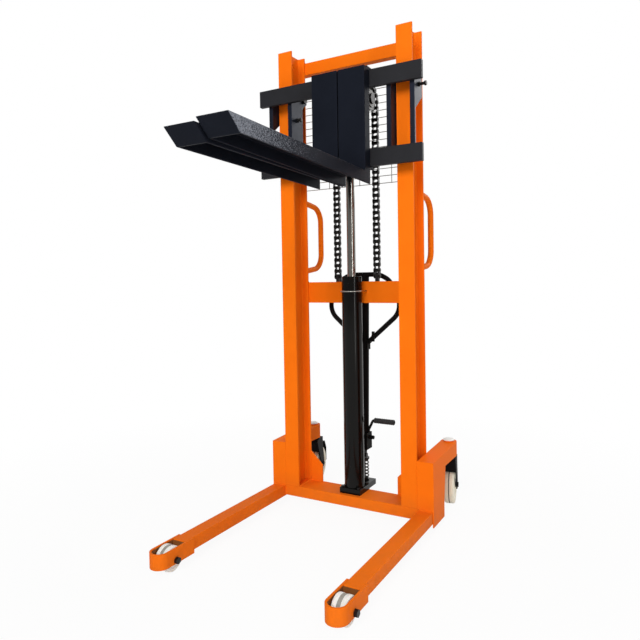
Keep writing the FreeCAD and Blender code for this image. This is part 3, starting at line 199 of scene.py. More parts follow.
def sprayedPaint(name, look):
    # Sprayed enamel on steel: even colour, a faint orange-peel skin, chips and rubs along edges.
    material, tree, shader, place = startFinish(name)
    blotch = addNode(tree, "ShaderNodeTexNoise",
                     {"Vector": place, "Scale": 1000 / look["blotchMm"], "Detail": 3.0})
    colour = addNode(tree, "ShaderNodeMix", {0: blotch.outputs["Fac"], 6: linearOf(look["dark"]),
                                             7: linearOf(look["light"])}, data_type="RGBA").outputs[2]
    if look.get("dust"):
        # Floor dust thins out with height and lies in patches.
        height = addNode(tree, "ShaderNodeSeparateXYZ", {"Vector": place}).outputs["Z"]
        low = addNode(tree, "ShaderNodeMapRange",
                      {"Value": height, "From Min": look["dustTopMm"] / 1000, "From Max": 0.0,
                       "To Max": paintLook["dustShare"]})
        patch = addNode(tree, "ShaderNodeTexNoise",
                        {"Vector": place, "Scale": 1000 / paintLook["dustMm"], "Detail": 6.0})
        share = addNode(tree, "ShaderNodeMath", {0: low.outputs["Result"], 1: patch.outputs["Fac"]},
                        operation="MULTIPLY")
        colour = addNode(tree, "ShaderNodeMix", {0: share.outputs["Value"], 6: colour,
                                                 7: linearOf(look["dust"])}, data_type="RGBA").outputs[2]
    worn = edgeMask(tree, place, look["edgeMm"], look["chipMm"], look["wear"])
    colour = addNode(tree, "ShaderNodeMix", {0: worn, 6: colour, 7: linearOf(look["bare"])},
                     data_type="RGBA").outputs[2]
    if look.get("fleck"):
        # Bright flecks crowd towards the tips on the pair of blades' two outer sides: partly paint rubbed
        # bare by pallets, partly painted glints of the sheen seen along those sides.
        spots = addNode(tree, "ShaderNodeTexNoise", {"Vector": place, "Scale": 1000 / look["fleckMm"],
                                                     "Detail": 3.0, "Roughness": 0.65})
        spot = addNode(tree, "ShaderNodeSeparateXYZ", {"Vector": place})
        reach = addNode(tree, "ShaderNodeMapRange",
                        {"Value": spot.outputs["Y"], "From Min": look["fleckTip"],
                         "From Max": look["fleckHeel"], "To Min": paintLook["fleckMany"],
                         "To Max": paintLook["fleckFew"]})
        off = addNode(tree, "ShaderNodeMath", {0: spot.outputs["X"], 1: look["fleckMiddle"]},
                      operation="SUBTRACT")
        away = addNode(tree, "ShaderNodeMath", {0: off.outputs["Value"]}, operation="ABSOLUTE")
        beside = addNode(tree, "ShaderNodeMapRange", {"Value": away.outputs["Value"],
                                                      "From Min": look["fleckHalf"] - paintLook["sideBand"],
                                                      "From Max": look["fleckHalf"]})
        crowd = addNode(tree, "ShaderNodeMath", {0: spots.outputs["Fac"], 1: reach.outputs["Result"]})
        bright = addNode(tree, "ShaderNodeMapRange",
                         {"Value": crowd.outputs["Value"], "From Min": paintLook["fleckStart"],
                          "From Max": paintLook["fleckFull"], "To Max": look["fleck"]})
        share = addNode(tree, "ShaderNodeMath", {0: bright.outputs["Result"], 1: beside.outputs["Result"]},
                        operation="MULTIPLY")
        colour = addNode(tree, "ShaderNodeMix", {0: share.outputs["Value"], 6: colour,
                                                 7: linearOf(look["bare"])}, data_type="RGBA").outputs[2]
    tree.links.new(colour, shader.inputs["Base Color"])
    peel = addNode(tree, "ShaderNodeTexNoise",
                   {"Vector": place, "Scale": 1000 / look["peelMm"], "Detail": 2.0})
    skin = addNode(tree, "ShaderNodeBump", {"Height": peel.outputs["Fac"], "Strength": look["peel"],
                                            "Distance": paintLook["peelDepth"]})
    tree.links.new(skin.outputs["Normal"], shader.inputs["Normal"])
    rough = addNode(tree, "ShaderNodeMapRange",
                    {"Value": blotch.outputs["Fac"], "To Min": look["roughness"] - paintLook["smoother"],
                     "To Max": look["roughness"] + paintLook["rougher"]})
    tree.links.new(rough.outputs["Result"], shader.inputs["Roughness"])
    shader.inputs["IOR"].default_value = paintLook["ior"]
    shader.inputs["Specular IOR Level"].default_value = look["gloss"]
    shader.inputs["Specular Tint"].default_value = linearOf(look.get("sheen", "FFFFFF"))
    return material


metalLook = {"lineDepth": 0.0003, "smoother": 0.7, "rougher": 1.3}


def rubbedMetal(name, look):
    # Bare or blackened steel: a metal whose tone and roughness drift, with fine lines from the tool.
    material, tree, shader, place = startFinish(name)
    drift = addNode(tree, "ShaderNodeTexNoise",
                    {"Vector": place, "Scale": 1000 / look["driftMm"], "Detail": 5.0})
    colour = addNode(tree, "ShaderNodeMix", {0: drift.outputs["Fac"], 6: linearOf(look["dark"]),
                                             7: linearOf(look["light"])}, data_type="RGBA").outputs[2]
    if look.get("wear"):
        worn = edgeMask(tree, place, look["edgeMm"], look["driftMm"], look["wear"])
        colour = addNode(tree, "ShaderNodeMix", {0: worn, 6: colour, 7: linearOf(look["bare"])},
                         data_type="RGBA").outputs[2]
    tree.links.new(colour, shader.inputs["Base Color"])
    shader.inputs["Metallic"].default_value = look["metallic"]
    rough = addNode(tree, "ShaderNodeMapRange",
                    {"Value": drift.outputs["Fac"], "To Min": look["roughness"] * metalLook["smoother"],
                     "To Max": look["roughness"] * metalLook["rougher"]})
    tree.links.new(rough.outputs["Result"], shader.inputs["Roughness"])
    stretched = addNode(tree, "ShaderNodeMapping", {"Vector": place, "Scale": look["lines"]})
    lines = addNode(tree, "ShaderNodeTexNoise",
                    {"Vector": stretched.outputs["Vector"], "Scale": 1.0, "Detail": 2.0})
    skin = addNode(tree, "ShaderNodeBump", {"Height": lines.outputs["Fac"], "Strength": look["bump"],
                                            "Distance": metalLook["lineDepth"]})
    tree.links.new(skin.outputs["Normal"], shader.inputs["Normal"])
    return material


polymerLook = {"ior": 1.53, "scuffStart": 0.52, "scuffFull": 0.72, "smoother": 0.08, "rougher": 0.1,
               "grainDepth": 0.0004, "glowReach": (0.004, 0.003, 0.002)}


def mouldedPolymer(name, look):
    # Cast nylon, plastic, rubber or caked dirt: soft colour drift, grime in blotches and a fine matt grain.
    material, tree, shader, place = startFinish(name)
    drift = addNode(tree, "ShaderNodeTexNoise",
                    {"Vector": place, "Scale": 1000 / look["driftMm"], "Detail": 4.0})
    colour = addNode(tree, "ShaderNodeMix", {0: drift.outputs["Fac"], 6: linearOf(look["dark"]),
                                             7: linearOf(look["light"])}, data_type="RGBA").outputs[2]
    scuff = addNode(tree, "ShaderNodeTexNoise", {"Vector": place, "Scale": 1000 / look["scuffMm"],
                                                 "Detail": 8.0, "Roughness": 0.7})
    share = addNode(tree, "ShaderNodeMapRange",
                    {"Value": scuff.outputs["Fac"], "From Min": polymerLook["scuffStart"],
                     "From Max": polymerLook["scuffFull"], "To Max": look["scuff"]})
    colour = addNode(tree, "ShaderNodeMix", {0: share.outputs["Result"], 6: colour,
                                             7: linearOf(look["grime"])}, data_type="RGBA").outputs[2]
    tree.links.new(colour, shader.inputs["Base Color"])
    rough = addNode(tree, "ShaderNodeMapRange",
                    {"Value": scuff.outputs["Fac"], "To Min": look["roughness"] - polymerLook["smoother"],
                     "To Max": look["roughness"] + polymerLook["rougher"]})
    tree.links.new(rough.outputs["Result"], shader.inputs["Roughness"])
    grain = addNode(tree, "ShaderNodeTexNoise",
                    {"Vector": place, "Scale": 1000 / look["grainMm"], "Detail": 3.0})
    skin = addNode(tree, "ShaderNodeBump", {"Height": grain.outputs["Fac"], "Strength": look["bump"],
                                            "Distance": polymerLook["grainDepth"]})
    tree.links.new(skin.outputs["Normal"], shader.inputs["Normal"])
    shader.inputs["IOR"].default_value = polymerLook["ior"]
    shader.inputs["Subsurface Weight"].default_value = look.get("glow", 0.0)
    shader.inputs["Subsurface Radius"].default_value = polymerLook["glowReach"]
    return material


# Bright enamel, even, with a soft shine and darker rubbed edges.
orangeEnamel = sprayedPaint("orangeEnamelOnSteel", {
    "dark": "EC680C", "light": "F77A16", "bare": "B4511A", "dust": "8A5A34", "dustTopMm": 160,
    "blotchMm": 260, "peelMm": 3, "peel": 0.12, "edgeMm": 1.6, "chipMm": 14, "wear": 0.08,
    "roughness": 0.44, "gloss": 0.025, "sheen": "FFD9B4"})
# Satin navy black with a cold sheen where it is seen along the face.
carriageBlack = sprayedPaint("satinBlackEnamelOnSteel", {
    "dark": "13151D", "light": "1C1F29", "bare": "4E515B", "blotchMm": 140, "peelMm": 3.5, "peel": 0.18,
    "edgeMm": 1.8, "chipMm": 9, "wear": 0.12, "roughness": 0.4, "gloss": 0.16, "sheen": "C4D4FF"})
# The same paint on the forks, with bright flecks along the blades' sides: partly paint rubbed bare, partly
# painted glints.
forkBlack = sprayedPaint("satinBlackEnamelOnForks", {
    "dark": "101218", "light": "191C24", "bare": "9A9EA8", "blotchMm": 140, "peelMm": 3.0, "peel": 0.3,
    "edgeMm": 2.2, "chipMm": 9, "wear": 0.14, "roughness": 0.5, "gloss": 0.06, "sheen": "C4D4FF",
    "fleckMm": 4, "fleck": 0.7, "fleckTip": -0.72, "fleckHeel": -0.05, "fleckMiddle": 0.039,
    "fleckHalf": 0.1215})
# A greyer, flatter black on the rolled bars.
barBlack = sprayedPaint("satinBlackEnamelOnBars", {
    "dark": "1E1E1F", "light": "29292D", "bare": "58585A", "blotchMm": 120, "peelMm": 3.5, "peel": 0.18,
    "edgeMm": 1.8, "chipMm": 9, "wear": 0.1, "roughness": 0.48, "gloss": 0.08})
# Deep warm black with long soft highlights down the tube.
cylinderBlack = sprayedPaint("glossBlackEnamelOnTube", {
    "dark": "080706", "light": "0D0B09", "bare": "4A4742", "blotchMm": 120, "peelMm": 4, "peel": 0.05,
    "edgeMm": 1.4, "chipMm": 8, "wear": 0.06, "roughness": 0.14, "gloss": 0.15})
# Thin stoved black over pressed steel, its corners rubbed grey.
castorBlack = sprayedPaint("stovedBlackOnPressings", {
    "dark": "0E0D0D", "light": "171616", "bare": "55534F", "blotchMm": 60, "peelMm": 3, "peel": 0.12,
    "edgeMm": 1.2, "chipMm": 6, "wear": 0.12, "roughness": 0.46, "gloss": 0.03})
# Ground chrome: a clear mirror with fine rings.
rodChrome = rubbedMetal("hardChromeGroundRod", {
    "dark": "827F79", "light": "9C9993", "driftMm": 90, "metallic": 1.0, "roughness": 0.16,
    "lines": (20, 20, 2500), "bump": 0.03})
# Black oily links whose rims shine a little.
chainSteel = rubbedMetal("oiledBlackenedChainSteel", {
    "dark": "161514", "light": "24221F", "bare": "6F6B64", "driftMm": 9, "metallic": 0.75, "roughness": 0.38,
    "lines": (900, 900, 900), "bump": 0.12, "edgeMm": 0.6, "wear": 0.12})
# Bolts blackened in oil, dull, with brighter corners.
blackBolt = rubbedMetal("oilBlackenedBolts", {
    "dark": "131212", "light": "211F1E", "bare": "6A6761", "driftMm": 10, "metallic": 0.6, "roughness": 0.42,
    "lines": (700, 700, 700), "bump": 0.08, "edgeMm": 0.8, "wear": 0.1})
# Zinc plate: bright and slightly cloudy.
zincSteel = rubbedMetal("zincPlatedBolts", {
    "dark": "8C8A84", "light": "B9B7B0", "driftMm": 12, "metallic": 1.0, "roughness": 0.34,
    "lines": (700, 700, 700), "bump": 0.06})
# Turned steel, grey from oil, with rings from the lathe.
rollerSteel = rubbedMetal("turnedBearingSteel", {
    "dark": "2E2D2C", "light": "4A4946", "driftMm": 20, "metallic": 0.9, "roughness": 0.36,
    "lines": (1500, 60, 60), "bump": 0.1})
# Zinc dipped wire, dull and pale.
meshWire = rubbedMetal("galvanisedWeldMesh", {
    "dark": "6A655D", "light": "948E84", "driftMm": 25, "metallic": 0.6, "roughness": 0.5,
    "lines": (300, 300, 300), "bump": 0.06})
# Dark wire with a soft shine along each coil.
springSteel = rubbedMetal("oilTemperedSpringWire", {
    "dark": "2A2927", "light": "4B4944", "driftMm": 10, "metallic": 0.9, "roughness": 0.32,
    "lines": (500, 500, 500), "bump": 0.06})
# Milky white nylon with a little grime.
whiteNylon = mouldedPolymer("castNylonWhite", {
    "dark": "EBE8E0", "light": "F5F3ED", "grime": "9A9284", "driftMm": 60, "scuffMm": 14, "scuff": 0.16,
    "grainMm": 1.6, "bump": 0.1, "roughness": 0.42, "glow": 0.12})
# A grey ring in the tread's groove, sunk just under the tread.
grooveBand = mouldedPolymer("greyBandInTreadGroove", {
    "dark": "8B877E", "light": "A9A59B", "grime": "5E584E", "driftMm": 30, "scuffMm": 9, "scuff": 0.5,
    "grainMm": 1.2, "bump": 0.3, "roughness": 0.7})
# A nearly black ring in the castors' narrow seam.
seamBand = mouldedPolymer("darkBandInCastorSeam", {
    "dark": "241C13", "light": "43382A", "grime": "6E624E", "driftMm": 24, "scuffMm": 9, "scuff": 0.4,
    "grainMm": 1.2, "bump": 0.3, "roughness": 0.6})
# Painted shade inside the noses: a brown sheet over the orange where the pockets behind the front wheels lie
# in shade.
noseShadeFinish = mouldedPolymer("paintedShadeInNose", {
    "dark": "6E3F0E", "light": "955515", "grime": "4A2E10", "driftMm": 30, "scuffMm": 12, "scuff": 0.5,
    "grainMm": 1.5, "bump": 0.3, "roughness": 0.75})
# Cream nylon, yellowed and scuffed.
creamNylon = mouldedPolymer("castNylonCream", {
    "dark": "E8DFC4", "light": "F4EEDD", "grime": "7C7059", "driftMm": 60, "scuffMm": 16, "scuff": 0.3,
    "grainMm": 1.6, "bump": 0.12, "roughness": 0.44, "glow": 0.1})
# Smooth white plastic.
capPlastic = mouldedPolymer("mouldedWhiteCap", {
    "dark": "DEDDD8", "light": "F0EFEB", "grime": "9A958A", "driftMm": 30, "scuffMm": 10, "scuff": 0.12,
    "grainMm": 1.2, "bump": 0.06, "roughness": 0.34, "glow": 0.08})
# Soft black rubber, dusty in its grain.
gripRubber = mouldedPolymer("mouldedRubberGrip", {
    "dark": "0F0F0F", "light": "1B1B1B", "grime": "3A3835", "driftMm": 25, "scuffMm": 8, "scuff": 0.3,
    "grainMm": 1.0, "bump": 0.25, "roughness": 0.66})
print("finishes made")

finishOf = {
    orangeEnamel: ["mast_left", "mast_right", "top_crossbeam", "middle_crossbeam", "base_crossmember",
                   "base_gussets", "straddle_legs", "nose_straps", "castor_bracket_left",
                   "castor_bracket_right", "push_handles"],
    carriageBlack: ["inner_carriage_plates", "outer_carriage_plates"],
    forkBlack: ["fork_left", "fork_right"],
    barBlack: ["carriage_bar_upper", "carriage_bar_lower", "chain_anchors"],
    cylinderBlack: ["cylinder_foot", "cylinder_barrel", "gland_nut", "pump_body", "crosshead", "piston_head"],
    castorBlack: ["castor_yoke_left", "castor_yoke_right", "brake_pedal_left", "brake_pedal_right", "rocker",
                  "tiller_handle", "release_lever"],
    rodChrome: ["piston_rod"],
    blackBolt: ["front_axles", "foot_bolts", "guide_bolts", "roller_axles", "chain_lugs", "sheave_axle",
                "rocker_pin", "pump_plunger"],
    zincSteel: ["cylinder_clamp"],
    rollerSteel: ["sheave_left", "sheave_right", "mast_roller_lower_left", "mast_roller_lower_right",
                  "mast_roller_upper_left", "mast_roller_upper_right"],
    meshWire: ["mesh_guard", "mesh_stays"],
    chainSteel: ["rear_chains", "sheave_chains", "front_chains"],
    springSteel: ["pump_spring"],
    whiteNylon: ["front_wheel_left", "front_wheel_right"],
    creamNylon: ["castor_wheel_left", "castor_wheel_right"],
    capPlastic: ["kingpin_caps"],
    gripRubber: ["pedal_grip"],
}
for finish, members in finishOf.items():
    for member in members:
        mesh = nodes[member].data
        mesh.materials.clear()
        mesh.materials.append(finish)
        mesh.polygons.foreach_set("material_index", np.zeros(len(mesh.polygons), np.int32))

# Folded and rolled steel has small round edges: merge the triangles, round the edges, keep flats flat.
edgeRound = {
    0.0040: ["fork_left", "fork_right"],
    0.0022: ["straddle_legs", "base_crossmember", "middle_crossbeam", "top_crossbeam", "castor_bracket_left",
             "castor_bracket_right", "nose_straps"],
    0.0012: ["mast_left", "mast_right", "base_gussets", "carriage_bar_upper", "carriage_bar_lower",
             "inner_carriage_plates", "outer_carriage_plates", "chain_anchors", "chain_lugs", "pump_body",
             "cylinder_foot", "crosshead", "rocker", "castor_yoke_left", "castor_yoke_right", "gland_nut"],
    0.0006: ["brake_pedal_left", "brake_pedal_right", "front_axles", "foot_bolts", "guide_bolts",
             "roller_axles", "cylinder_clamp", "release_lever", "tiller_handle", "push_handles",
             "cylinder_barrel", "piston_rod", "sheave_left", "sheave_right", "sheave_axle", "pump_plunger",
             "mesh_stays", "rocker_pin", "mast_roller_lower_left", "mast_roller_lower_right",
             "mast_roller_upper_left", "mast_roller_upper_right"],
}
roundLook = {"mergeGap": 0.00002, "flatAngle": 0.5, "segments": 2, "edgeAngle": 38, "weight": 80}
for width, members in edgeRound.items():
    for member in members:
        node = nodes[member]
        node.data.polygons.foreach_set("use_smooth", np.ones(len(node.data.polygons), bool))
        merge = node.modifiers.new("mergeTriangles", "WELD")
        merge.merge_threshold = roundLook["mergeGap"]
        plain = node.modifiers.new("joinFlats", "DECIMATE")
        plain.decimate_type, plain.angle_limit = "DISSOLVE", math.radians(roundLook["flatAngle"])
        ease = node.modifiers.new("roundEdges", "BEVEL")
        ease.width, ease.segments, ease.limit_method = width, roundLook["segments"], "ANGLE"
        ease.angle_limit = math.radians(roundLook["edgeAngle"])
        ease.use_clamp_overlap = True
        flats = node.modifiers.new("keepFlats", "WEIGHTED_NORMAL")
        flats.weight, flats.keep_sharp = roundLook["weight"], True
print("CAD nodes finished")


# Wheels and caps

def wheelProfile(look):
    # Section of (along, radius): bore, hub ring, recessed face, rounded tread with a seam, then its mirror.
    half, radius = look["width"] / 2, look["radius"]
    arc = np.linspace(0, math.pi / 2, 6)
    edge = look["edge"]
    shoulder = [(half - edge + edge * math.cos(a), radius - edge + edge * math.sin(a)) for a in arc]
    right = [(half, look["bore"]), (half, look["hub"]), (half - look["dish"], look["hub"] + look["dish"]),
             (half - look["dish"], radius - look["rim"] - look["dish"]), (half, radius - look["rim"])]
    right += shoulder + [(look["seamHalf"], radius), (look["seamHalf"] / 2, radius - look["seam"])]
    left = [(-x, r) for x, r in reversed(right)]
    return right + left


def seamProfile(look):  # the ring's square section, from inside the wheel to just under the tread
    half, inside, brim = look["bandHalf"], look["bandInside"], look["bandBrim"]
    return [(-half, inside), (half, inside), (half, brim), (-half, brim)]


frontWheelLook = {"radius": 0.0455, "width": 0.050, "edge": 0.006, "bore": 0.0081, "hub": 0.019,
                  "dish": 0.0035, "rim": 0.011, "seam": 0.0022, "seamHalf": 0.0085, "bandHalf": 0.0068,
                  "bandInside": 0.0405, "bandBrim": 0.0447, "steps": 96}
castorWheelLook = {"radius": 0.086, "width": 0.046, "edge": 0.010, "bore": 0.0081, "hub": 0.026,
                   "dish": 0.006, "rim": 0.026, "seam": 0.0016, "seamHalf": 0.0030, "bandHalf": 0.0019,
                   "bandInside": 0.0800, "bandBrim": 0.0852, "steps": 112}
for side in ("left", "right"):
    low, high = (np.array(c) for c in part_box(f"front_wheel_{side}"))
    place = (low + high) / 2, (1, 0, 0), frontWheelLook["steps"]
    makePiece(f"frontWheel{side.title()}", [turnedSurface(wheelProfile(frontWheelLook), *place)], whiteNylon,
              f"front_wheel_{side}", [f"front_wheel_{side}"])
    makePiece(f"treadGrooveBand{side.title()}", [turnedSurface(seamProfile(frontWheelLook), *place)], grooveBand,
              f"front_wheel_{side}")
    spin = joints[f"castor_wheel_{side}_spin"]
    place = spin["pos_m"], spin["axis"], castorWheelLook["steps"]
    makePiece(f"castorWheel{side.title()}", [turnedSurface(wheelProfile(castorWheelLook), *place)],
              creamNylon, f"castor_wheel_{side}", [f"castor_wheel_{side}"])
    makePiece(f"castorSeamBand{side.title()}", [turnedSurface(seamProfile(castorWheelLook), *place)], seamBand,
              f"castor_wheel_{side}")
# Each cap is an upright skirt under a quarter of an ellipse that ends in a small flat crown.
capLook = {"radius": 0.025, "height": 0.008, "skirt": 0.0024, "crown": 0.12, "steps": 48}
low, high = (np.array(c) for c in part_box("kingpin_caps"))
capY, capX = (low[1] + high[1]) / 2, high[0] - capLook["radius"]
arc = np.linspace(0, math.pi / 2, 9)[1:]
capRise = capLook["skirt"] + (capLook["height"] - capLook["skirt"]) * np.sin(arc)
capRound = capLook["radius"] * (capLook["crown"] + (1 - capLook["crown"]) * np.cos(arc))
capProfile = [(0, 0), (0, capLook["radius"]), (capLook["skirt"], capLook["radius"]), *zip(capRise, capRound),
              (capLook["height"], 0)]
makePiece("kingpinCaps", [turnedSurface(capProfile, (x, capY, low[2]), (0, 0, 1), capLook["steps"], False)
                          for x in (-capX, capX)], capPlastic, "frame", ["kingpin_caps"])
print("wheels and caps made")


# Chains: plates like a figure of eight, pins with heads, rollers between the inner plates

chainLook = {"pitch": 0.0254, "centre": 0.098, "rear": 30, "wrap": 7, "front": 10, "roller": 0.0079,
             "inner": 0.0152, "plate": 0.0032, "height": 0.0225, "waist": 0.0150, "pin": 0.004,
             "play": 0.0003, "pinEnd": 0.0015, "pinRim": 0.0008, "rim": 0.0006, "room": 0.0122}


def plateSurface(look, start):
    # An outline whose half width swings by a sine from the eyes' radius to the waist, carried across.
    turn = np.linspace(0, math.pi, 9)
    eye, pitch = look["height"] / 2, look["pitch"]
    top = np.stack([eye * np.cos(turn), pitch + eye * np.sin(turn)], 1)
    side = np.linspace(0, 1, 6)[1:-1]
    pinch = eye - (eye - look["waist"] / 2) * np.sin(math.pi * side)
    down = np.stack([-pinch, pitch * (1 - side)], 1)
    half = np.concatenate([top, down])
    outline = np.concatenate([half, np.stack([-half[:, 0], pitch - half[:, 1]], 1)])
    middle = np.array([0, pitch / 2])
    rim, thick = look["rim"], look["plate"]
    shrunk = middle + (outline - middle) * (1 - rim / eye)
    layers = [(start, shrunk), (start + rim, outline), (start + thick - rim, outline),
              (start + thick, shrunk)]
    points = np.concatenate([np.column_stack([np.full(len(o), x), o]) for x, o in layers])
    count = len(outline)
    faces = gridFaces(4, count, False, True).tolist()
    return points, faces + [list(range(count))[::-1], list(range(3 * count, 4 * count))]


def pinSurface(look, radius, half, level, sides=12):  # a turned pin along X with eased ends
    rim = min(look["pinRim"], half / 4)
    profile = [(-half, 0), (-half, radius - rim), (-half + rim, radius), (half - rim, radius),
               (half, radius - rim), (half, 0)]
    return turnedSurface(profile, (0, 0, level), (1, 0, 0), sides, False)


def linkSurfaces(look, outer):  # one upright link with its pins at zero and at one pitch
    face = look["inner"] / 2 + (look["plate"] + look["play"] if outer else 0)
    radius, half = look["roller"], look["inner"] / 2
    if outer:
        radius, half = look["pin"], face + look["plate"] + look["pinEnd"]
    return [plateSurface(look, face), plateSurface(look, -face - look["plate"]),
            pinSurface(look, radius, half, 0), pinSurface(look, radius, half, look["pitch"])]


def chainSurfaces(look, first, pins, middle):
    # Each link turns about X from upright to the line between its two pins, on both sides of the cylinder.
    surfaces, linkKinds = [], [linkSurfaces(look, True), linkSurfaces(look, False)]
    for number, (start, end) in enumerate(zip(pins, pins[1:])):
        rise, run = end[1] - start[1], end[0] - start[0]
        length = math.hypot(rise, run)
        c, s = rise / length, -run / length
        for points, faces in linkKinds[(first + number) % 2]:
            y = points[:, 1] * c - points[:, 2] * s + start[0] + middle[0]
            z = points[:, 1] * s + points[:, 2] * c + start[1] + middle[1]
            surfaces += [(np.column_stack([points[:, 0] + side * look["centre"], y, z]), faces)
                         for side in (-1, 1)]
    return surfaces


sheaveY, sheaveZ = joints["sheave_right_spin"]["pos_m"][1:]
pitch = chainLook["pitch"]
chainRadius = pitch / (2 * math.sin(math.pi / 2 / chainLook["wrap"]))
rearPins = [(chainRadius, pitch * (n - chainLook["rear"])) for n in range(chainLook["rear"] + 1)]
wrapPins = [(chainRadius * math.cos(math.pi * n / chainLook["wrap"]),
             chainRadius * math.sin(math.pi * n / chainLook["wrap"])) for n in range(chainLook["wrap"] + 1)]
frontPins = [(-chainRadius, -pitch * n) for n in range(chainLook["front"] + 1)]
rearCount, wrapCount = chainLook["rear"], chainLook["wrap"]
sheave = (sheaveY, sheaveZ)
rearChain = makePiece("rearChains", chainSurfaces(chainLook, 0, rearPins, sheave), chainSteel, "frame",
                      ["rear_chains"], False)
lift = -joints["ram_lift"]["range_m"][0]
# At full drop the run ends just under the sheave's last link, whose eye reaches down to it.
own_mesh(rearChain)
makePiece("sheaveChains", chainSurfaces(chainLook, rearCount, wrapPins, sheave), chainSteel, "ram",
          ["sheave_chains"], False)
makePiece("frontChains", chainSurfaces(chainLook, rearCount + wrapCount, frontPins, sheave), chainSteel,
          "carriage", ["front_chains"], False)


def spareLinks(look):
    # The links that come over the sheaves as the carriage goes down. At rest they lie folded flat inside the
    # first front pin; a point that hangs s below it at full drop rests where a smooth step reaches s / drop.
    count = int(lift / look["pitch"])
    pins = [(-chainRadius, -look["pitch"] * n) for n in range(count + 1)]
    surfaces = chainSurfaces(look, rearCount + wrapCount, pins, (sheaveY, 0))
    ease = np.linspace(0, 1, 2001)
    packed = []
    for points, faces in surfaces:
        hang = np.clip(-points[:, 2] / lift, 0, 1)
        share = np.interp(hang, ease * ease * (3 - 2 * ease), ease)
        slim = sheaveY - chainRadius + (points[:, 1] - sheaveY + chainRadius) * look["slim"]
        packed.append((np.column_stack([points[:, 0], slim, sheaveZ - share * look["fold"]]), faces))
    return packed


spareLook = dict(chainLook, fold=0.002, slim=0.96, plate=0.003, inner=0.0154, play=0.0005, pin=0.0039,
                 roller=0.0077)
spare = makePiece("spareChainLinks", spareLinks(spareLook), chainSteel, None, [], False)
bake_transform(spare)
print("chains made")


# Pump spring, pedal grip and mesh

# The spring is a round wire along a helix; its first and last points lie one wire radius inside the ends.
springLook = {"radius": 0.0223, "wire": 0.0032, "coils": 6, "stepsPerCoil": 32, "sides": 14}
low, high = (np.array(c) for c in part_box("pump_spring"))
springY = (low[1] + high[1]) / 2
turns = np.linspace(0, springLook["coils"], springLook["stepsPerCoil"] * springLook["coils"] + 1)
wireLow, wireHigh = low[2] + springLook["wire"], high[2] - springLook["wire"]
around = turns * math.tau
outward = np.stack([np.cos(around), np.sin(around), np.zeros_like(around)], 1)
helix = springLook["radius"] * outward
helix[:, 1] += springY
helix[:, 2] = wireLow + (wireHigh - wireLow) * turns / springLook["coils"]
spring = makePiece("pumpSpring", [tubeSurface(helix, springLook["wire"], outward, springLook["sides"])],
                   springSteel, None, ["pump_spring"])
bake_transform(spring)

# The grip's radius swings by a cosine, once for each rib, and draws in at both ends by a square root.
gripLook = {"radius": 0.0125, "rib": 0.0012, "ribs": 11, "stepsPerRib": 8, "end": 0.003, "endShare": 0.82,
            "sides": 40}
low, high = (np.array(c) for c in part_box("pedal_grip"))
along = np.linspace(0, 1, gripLook["ribs"] * gripLook["stepsPerRib"] + 1)
gripLength = high[0] - low[0]
swell = gripLook["radius"] - gripLook["rib"] * (0.5 + 0.5 * np.cos(along * math.tau * gripLook["ribs"]))
fromEnd = np.sqrt(np.minimum(along, 1 - along) * gripLength / gripLook["end"])
swell = swell * np.minimum(1, gripLook["endShare"] + (1 - gripLook["endShare"]) * fromEnd)
gripProfile = [(0, 0)] + list(zip(along * gripLength, swell)) + [(gripLength, 0)]
gripCentre = (low[0], (low[1] + high[1]) / 2, (low[2] + high[2]) / 2)
makePiece("pedalGrip", [turnedSurface(gripProfile, gripCentre, (1, 0, 0), gripLook["sides"], False)],
          gripRubber, "tiller", ["pedal_grip"])

# Straight round wires: rows in front, columns just behind them so that they touch.
guardLook = {"wire": 0.0016, "rows": 15, "columns": (-0.286, -0.157, 0.0, 0.157, 0.286), "inset": 0.002,
             "behind": 2.6, "sides": 8}
low, high = (np.array(c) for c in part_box("mesh_guard"))
wire, sides = guardLook["wire"], guardLook["sides"]
front, back = low[1] + wire, low[1] + guardLook["behind"] * wire
levels = np.linspace(low[2] + guardLook["inset"], high[2] - guardLook["inset"], guardLook["rows"])
wires = [tubeSurface([(low[0], front, z), (0, front, z), (high[0], front, z)], wire, (0, 0, 1), sides)
         for z in levels]
wires += [tubeSurface([(x, back, low[2]), (x, back, (low[2] + high[2]) / 2), (x, back, high[2])], wire,
                      (0, 1, 0), sides) for x in guardLook["columns"]]
makePiece("meshWires", wires, meshWire, "frame", ["mesh_guard"])
print("spring, grip and mesh made")


# Weld beads where the frame's pieces meet

weldLook = {"radius": 0.0034, "ripple": 0.0005, "step": 0.0044, "stepPoints": 4, "sides": 8, "shortOf": 0.002,
            "legInside": 0.006, "legOutside": 0.005, "gussetRun": 0.060}


def beadSurface(look, start, end):
    # A straight round bead whose radius swells and shrinks by a cosine, once for each drop of weld metal.
    start, end = np.asarray(start, float), np.asarray(end, float)
    length = np.linalg.norm(end - start)
    along = np.linspace(0, 1, int(length / look["step"]) * look["stepPoints"] + 1)
    radius = look["radius"] + look["ripple"] * np.cos(along * length / look["step"] * math.tau)
    up = (1, 0, 0) if abs(end[0] - start[0]) < length / 2 else (0, 0, 1)
    return tubeSurface(start + along[:, None] * (end - start), radius, up, look["sides"])


